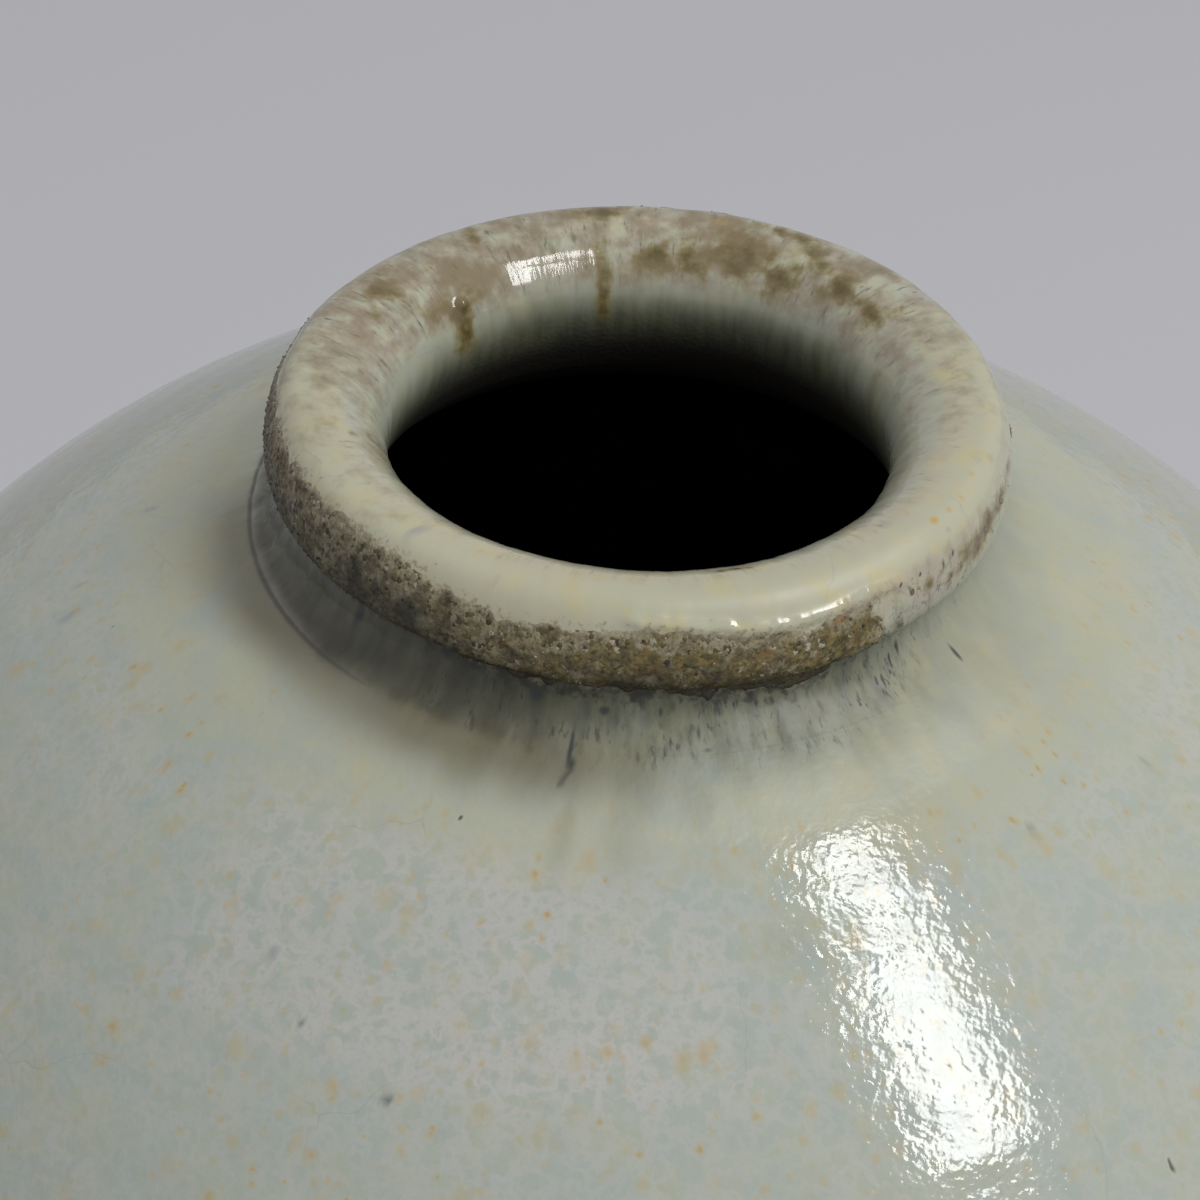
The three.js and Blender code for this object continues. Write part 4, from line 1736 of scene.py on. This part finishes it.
@dataclass
class Body:
    """The two thrown bowls that meet at the belly."""

    shop: Workshop
    segments: int = 620

    def make(self) -> None:
        """Builds the two bowls."""
        form, path = self.shop.form, self.shop.path
        floor, belly = path.outer_run(form.floor_top), path.outer_run(form.belly_height)
        inside, crease = path.inner_run(form.belly_height), path.inner_run(form.crease_height)
        for name, outer, inner in (
            ("lower_bowl", (floor, 1.9, belly), (inside, 4.0, float(path.runs[-2]))),
            ("upper_bowl", (belly, 1.5, -12.0 * MM, 0.8, -1.4 * MM, 0.11, 0.0), (crease, 4.0, inside)),
        ):
            self.shop.section(name, spaced(*outer), spaced(*inner), self.segments)


@dataclass
class NeckAndLip:
    """The neck collar and the rolled lip on it."""

    shop: Workshop
    segments: int = 720

    def make(self) -> None:
        """Builds the neck and the lip."""
        form, path = self.shop.form, self.shop.path
        seam, inside = path.outer_run(form.lip_seam), path.inner_run(form.lip_seam)
        turn, crease = path.crest() + 4.0 * MM, path.inner_run(form.crease_height)
        neck = spaced(0.0, 0.11, 1.4 * MM, 0.26, seam), spaced(inside, 0.4, crease)
        lip = spaced(seam, 0.28, turn), spaced(turn, 0.3, inside)[1:]
        self.shop.section("neck_collar", *neck, self.segments)
        self.shop.section("rolled_lip", *lip, self.segments)


@dataclass
class LipCrust:
    """The crust of kiln grit and melted ash on the lip's outer face.

    Sizes written with MM are in metres, and the other lengths in millimetres.
    """

    shop: Workshop
    segments: int = 1180
    ring: float = 0.215
    low_run: float = 4.6 * MM
    high_run: float = 20.4 * MM
    buried: float = 0.3
    coarse: Grain = Grain(0.5, 71)
    fine: Grain = Grain(0.3, 73)
    grain_density: float = 1.5e6
    grain_sizes: Pair = (0.13, 0.38)
    grain_seed: int = 9

    def make(self) -> None:
        """Builds the crust and the grains on it."""
        shop, path = self.shop, self.shop.path
        outer = spaced(self.low_run, self.ring, self.high_run)
        inner = spaced(self.high_run, 3.0, self.low_run)
        runs = np.concatenate([outer, inner])
        rows = path.at(runs)
        rows[len(outer) :] -= 2 * self.buried * MM * path.normals(inner)
        surface = shop.wheel.turn("ash_crust_grit", rows, runs, self.segments, shop.crust)
        gap = np.stack([surface.radii(), surface.points[:, 2]], axis=1) - path.at(surface.runs)
        outside = (gap * path.normals(surface.runs)).sum(axis=1) > -self.buried * MM
        body = self.body(surface)
        pebbles, small = self.coarse.pebbles(surface.points), self.fine.pebbles(surface.points)
        lumps = Grain(3.5, 79).layered(surface.points, 2)
        share = self.share(surface)
        feather = 1.0 - 0.65 * smooth_step(0.55, 1.0, share) - 0.55 * (1.0 - smooth_step(0.0, 0.35, share))
        thick = (0.12 + 0.22 * pebbles + 0.13 * small + 0.14 * lumps) * feather * self.depth(surface)
        rise = MM * (body * (self.buried + thick) - self.buried)
        surface.shape(shop.hand, np.where(outside, rise, 0.0) + shop.hand.relief(surface))
        # Painted shade in the gaps between the grains, darkest where they are lowest.
        surface.paint("gap", 0.8 * (1.0 - smooth_step(0.0, 0.55, pebbles + 0.4 * small)))
        self.paint(surface, share, lumps)
        surface.paint("grit", np.where(outside, body * (0.25 + 0.75 * smooth_step(-0.3, 0.6, lumps)), 0.0))
        finish_piece(surface.piece, "ash_crust", "ash_crust")
        piece, sizes, seed = surface.piece, self.grain_sizes, self.grain_seed
        grains = shop.grit.scatter("lip_grit_grains", piece, self.grain_density, sizes, seed, shop.grains)
        finish_piece(grains, "ash_crust")

    @staticmethod
    def share(surface: Surface) -> np.ndarray:
        """How far up the crust each vertex lies, from 0 at its lower edge to 1 at its upper."""
        low, high = crust_edges(surface.angles)
        return (surface.mm - low) / (high - low)

    @staticmethod
    def depth(surface: Surface) -> np.ndarray:
        """How thick the crust lies at each angle, as a share of its most."""
        return around(surface.angles, (-180, 0.9), (-100, 1), (-60, 0.95), (-40, 0.6), (0, 0.4), (90, 0.8))

    def paint(self, surface: Surface, share: np.ndarray, lumps: np.ndarray) -> None:
        """Paints where ash melted olive over the grit, where it lies in shade, and where it fades into glaze.

        Args:
            surface: the crust.
            share: how far up the crust each vertex lies.
            lumps: slow lumps, from about -1 to 1.
        """
        path, hand, angles = self.shop.path, self.shop.hand, surface.angles
        golden = around(
            angles, (-180, 0.5), (-168, 0.8), (-154, 0.5), (-140, 0.25), (-112, 0.35), (-98, 0.7),
            (-85, 0.95), (-56, 1), (-44, 0.7), (-30, 0.2), (60, 0.5), (120, 0.6),
        )
        dusk = around(
            angles, (-180, 1.4), (-150, 1.35), (-126, 1), (-110, 0.7), (-92, 0.85), (-72, 0.75), (-50, 0.4),
            (0, 0.3), (100, 0.8),
        )
        olive = golden * (1.0 - 0.75 * smooth_step(0.62, 1.0, share + 0.2 * lumps))
        pits = smooth_step(0.15, 0.6, Grain(1.5, 97).layered(surface.points, 2))
        shade = 1.0 - smooth_step(0.0, 1.0, (share + 0.2 * lumps) / dusk)
        shade += 0.7 * pits * (1.0 - smooth_step(0.35, 0.8, share))
        surface.paint("olive", olive + 0.35 * (1.0 - smooth_step(0.05, 0.5, share)))
        # This mask holds painted shade on the crust's lower part, deepest at the left, together with the
        # crust's dark pits and marks.
        surface.paint("shade", shade + marks(surface, path, hand.dark_marks))
        surface.paint("melted", smooth_step(0.86, 1.12, share + 0.12 * lumps))
        surface.paint("scorch", marks(surface, path, hand.scorch_marks))

    @staticmethod
    def body(surface: Surface) -> np.ndarray:
        """How fully the crust covers each vertex.

        Args:
            surface: the vertices.

        Returns:
            Numbers from 0, where bare glaze shows, to 1.
        """
        low, high = crust_edges(surface.angles)
        islands = Grain(1.8, 91).layered(surface.flow(), 3)
        thin = 1.15 * arc(surface.angles, -47.0, 24.0, 12.0) - 0.8
        sparse = smooth_step(-0.12, 0.12, thin - islands)
        ragged = surface.mm - 1.1 * Grain(1.7, 89).layered(surface.flow(0.7), 3)
        cover = smooth_step(low - 0.5, low + 0.5, ragged) * (1.0 - sparse)
        return cover * (1.0 - smooth_step(high - 0.5, high + 0.5, ragged))


# The studio.


def aimed(
    name: str, data: bpy.types.ID, place: Vector, axes: tuple[Vector, Vector, Vector]
) -> bpy.types.Object:
    """Puts a lamp or a camera at its place.

    Args:
        name: the new object's name.
        data: the lamp or camera.
        place: where it stands.
        axes: the ways that its own x, y and z point.

    Returns:
        The object.
    """
    piece = linked(name, data)
    piece.matrix_world = Matrix.Translation(place) @ Matrix(axes).transposed().to_4x4()
    return piece


@dataclass(frozen=True)
class PhotoView:
    """The camera, placed by where the lip's centre lies in the square picture."""

    elevation: float = 35.246
    roll: float = 2.856
    distance: float = 393.5 * MM
    picture: float = 1200.0
    lens: float = 3600.0
    centre_column: float = 640.35
    centre_row: float = 447.12
    sensor: float = 36.0
    nearest: float = 0.01
    farthest: float = 30.0

    def place(self, target: Vector) -> None:
        """Sets the camera up.

        Args:
            target: the lip's centre.
        """
        rise, roll = math.radians(self.elevation), math.radians(self.roll)
        away = Vector((0.0, -math.cos(rise), math.sin(rise)))
        right = Vector((1.0, 0.0, 0.0))
        down = Vector((0.0, -math.sin(rise), -math.cos(rise)))
        rows = Matrix((
            right * math.cos(roll) - down * math.sin(roll),
            right * math.sin(roll) + down * math.cos(roll),
            -away,
        ))
        half = self.picture / 2
        aim = Vector(((self.centre_column - half) / self.lens, (self.centre_row - half) / self.lens, 1.0))
        turn = Vector((0.0, 0.0, 1.0)).rotation_difference(aim.normalized()).to_matrix()
        across, below, ahead = (turn @ rows).row[:]
        data = bpy.data.cameras.new("photo_view")
        data.sensor_width = self.sensor
        data.lens = self.lens / self.picture * self.sensor
        data.clip_start, data.clip_end = self.nearest, self.farthest
        place = target + away * self.distance
        bpy.context.scene.camera = aimed("photo_view", data, place, (across, -below, -ahead))


@dataclass(frozen=True)
class Softbox:
    """A rectangular lamp, at its place on the plane that all the lamps hang in."""

    name: str
    across: float
    along: float
    width: float
    length: float
    radiance: float = 15.0


@dataclass(frozen=True)
class Studio:
    """A pale floor, a row of soft lamps that stand end to end, and even light all round."""

    floor_tone: Tone = Tone(196, 196, 200)
    floor_size: float = 6.0
    sky_tone: Tone = Tone(188, 188, 190)
    sky_strength: float = 1.06
    lamp_target: tuple[float, float, float] = (0.03, -0.045, 0.222)
    lamp_direction: tuple[float, float, float] = (0.62, -0.27, 0.74)
    lamp_long_way: tuple[float, float, float] = (0.42, -0.55, -0.42)
    lamp_distance: float = 1.2
    lamps: tuple[Softbox, ...] = (
        Softbox("upper_softbox", -0.012, -0.440, 0.20, 0.22),
        Softbox("joining_softbox", 0.030, -0.286, 0.13, 0.09),
        Softbox("lower_softbox", -0.045, 0.005, 0.24, 0.49),
    )

    def hang(self, lamp: Softbox) -> None:
        """Hangs one lamp in the lamps' plane, facing the shoulder.

        Args:
            lamp: the lamp.
        """
        data = bpy.data.lights.new(lamp.name, "AREA")
        data.shape = "RECTANGLE"
        data.size, data.size_y = lamp.width, lamp.length
        data.energy = lamp.radiance * math.pi * lamp.length * lamp.width
        back = Vector(self.lamp_direction).normalized()
        along = Vector(self.lamp_long_way)
        along = (along - back * along.dot(back)).normalized()
        across = back.cross(along)
        place = Vector(self.lamp_target) + back * self.lamp_distance
        for way, far in ((across, lamp.across), (along, lamp.along)):
            place += way * far
        aimed(lamp.name, data, place, (across, -along, back))

    def make(self, lip_centre: Vector) -> None:
        """Builds the stage, the lamps and the camera.

        Args:
            lip_centre: the point that the camera is placed by.
        """
        coat = Coat("pale_floor", self.floor_tone)
        rough = coat.ease(coat.noise(coat.place, 9.0), 0.3, 0.7, 0.75, 0.9)
        coat.feed(coat.shader, {"Base Color": coat.colour, "Roughness": rough})
        half = self.floor_size / 2
        sheet = bpy.data.meshes.new("pale_floor")
        corners = [(-half, -half, 0), (half, -half, 0), (half, half, 0), (-half, half, 0)]
        sheet.from_pydata(corners, [], [(0, 1, 2, 3)])
        sheet.materials.append(coat.material)
        linked("pale_floor", sheet)
        world = bpy.data.worlds.new("even_light")
        world.use_nodes = True
        sky = world.node_tree.nodes["Background"]
        sky.inputs["Color"].default_value = self.sky_tone.colour()
        sky.inputs["Strength"].default_value = self.sky_strength
        bpy.context.scene.world = world
        for lamp in self.lamps:
            self.hang(lamp)
        PhotoView().place(lip_centre)
        bpy.context.scene.view_settings.view_transform = "Standard"


def main() -> None:
    """Builds the jar from the foot up, and the studio round it."""
    logging.basicConfig(level=logging.INFO, format="%(name)s %(message)s")
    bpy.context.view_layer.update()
    shop = Workshop()
    for part in (Foot(shop), Body(shop), NeckAndLip(shop), LipCrust(shop)):
        log.info("making %s", type(part).__name__)
        part.make()
    Studio().make(Vector((0.0, 0.0, shop.form.lip_level)))


if __name__ == "__main__":
    main()
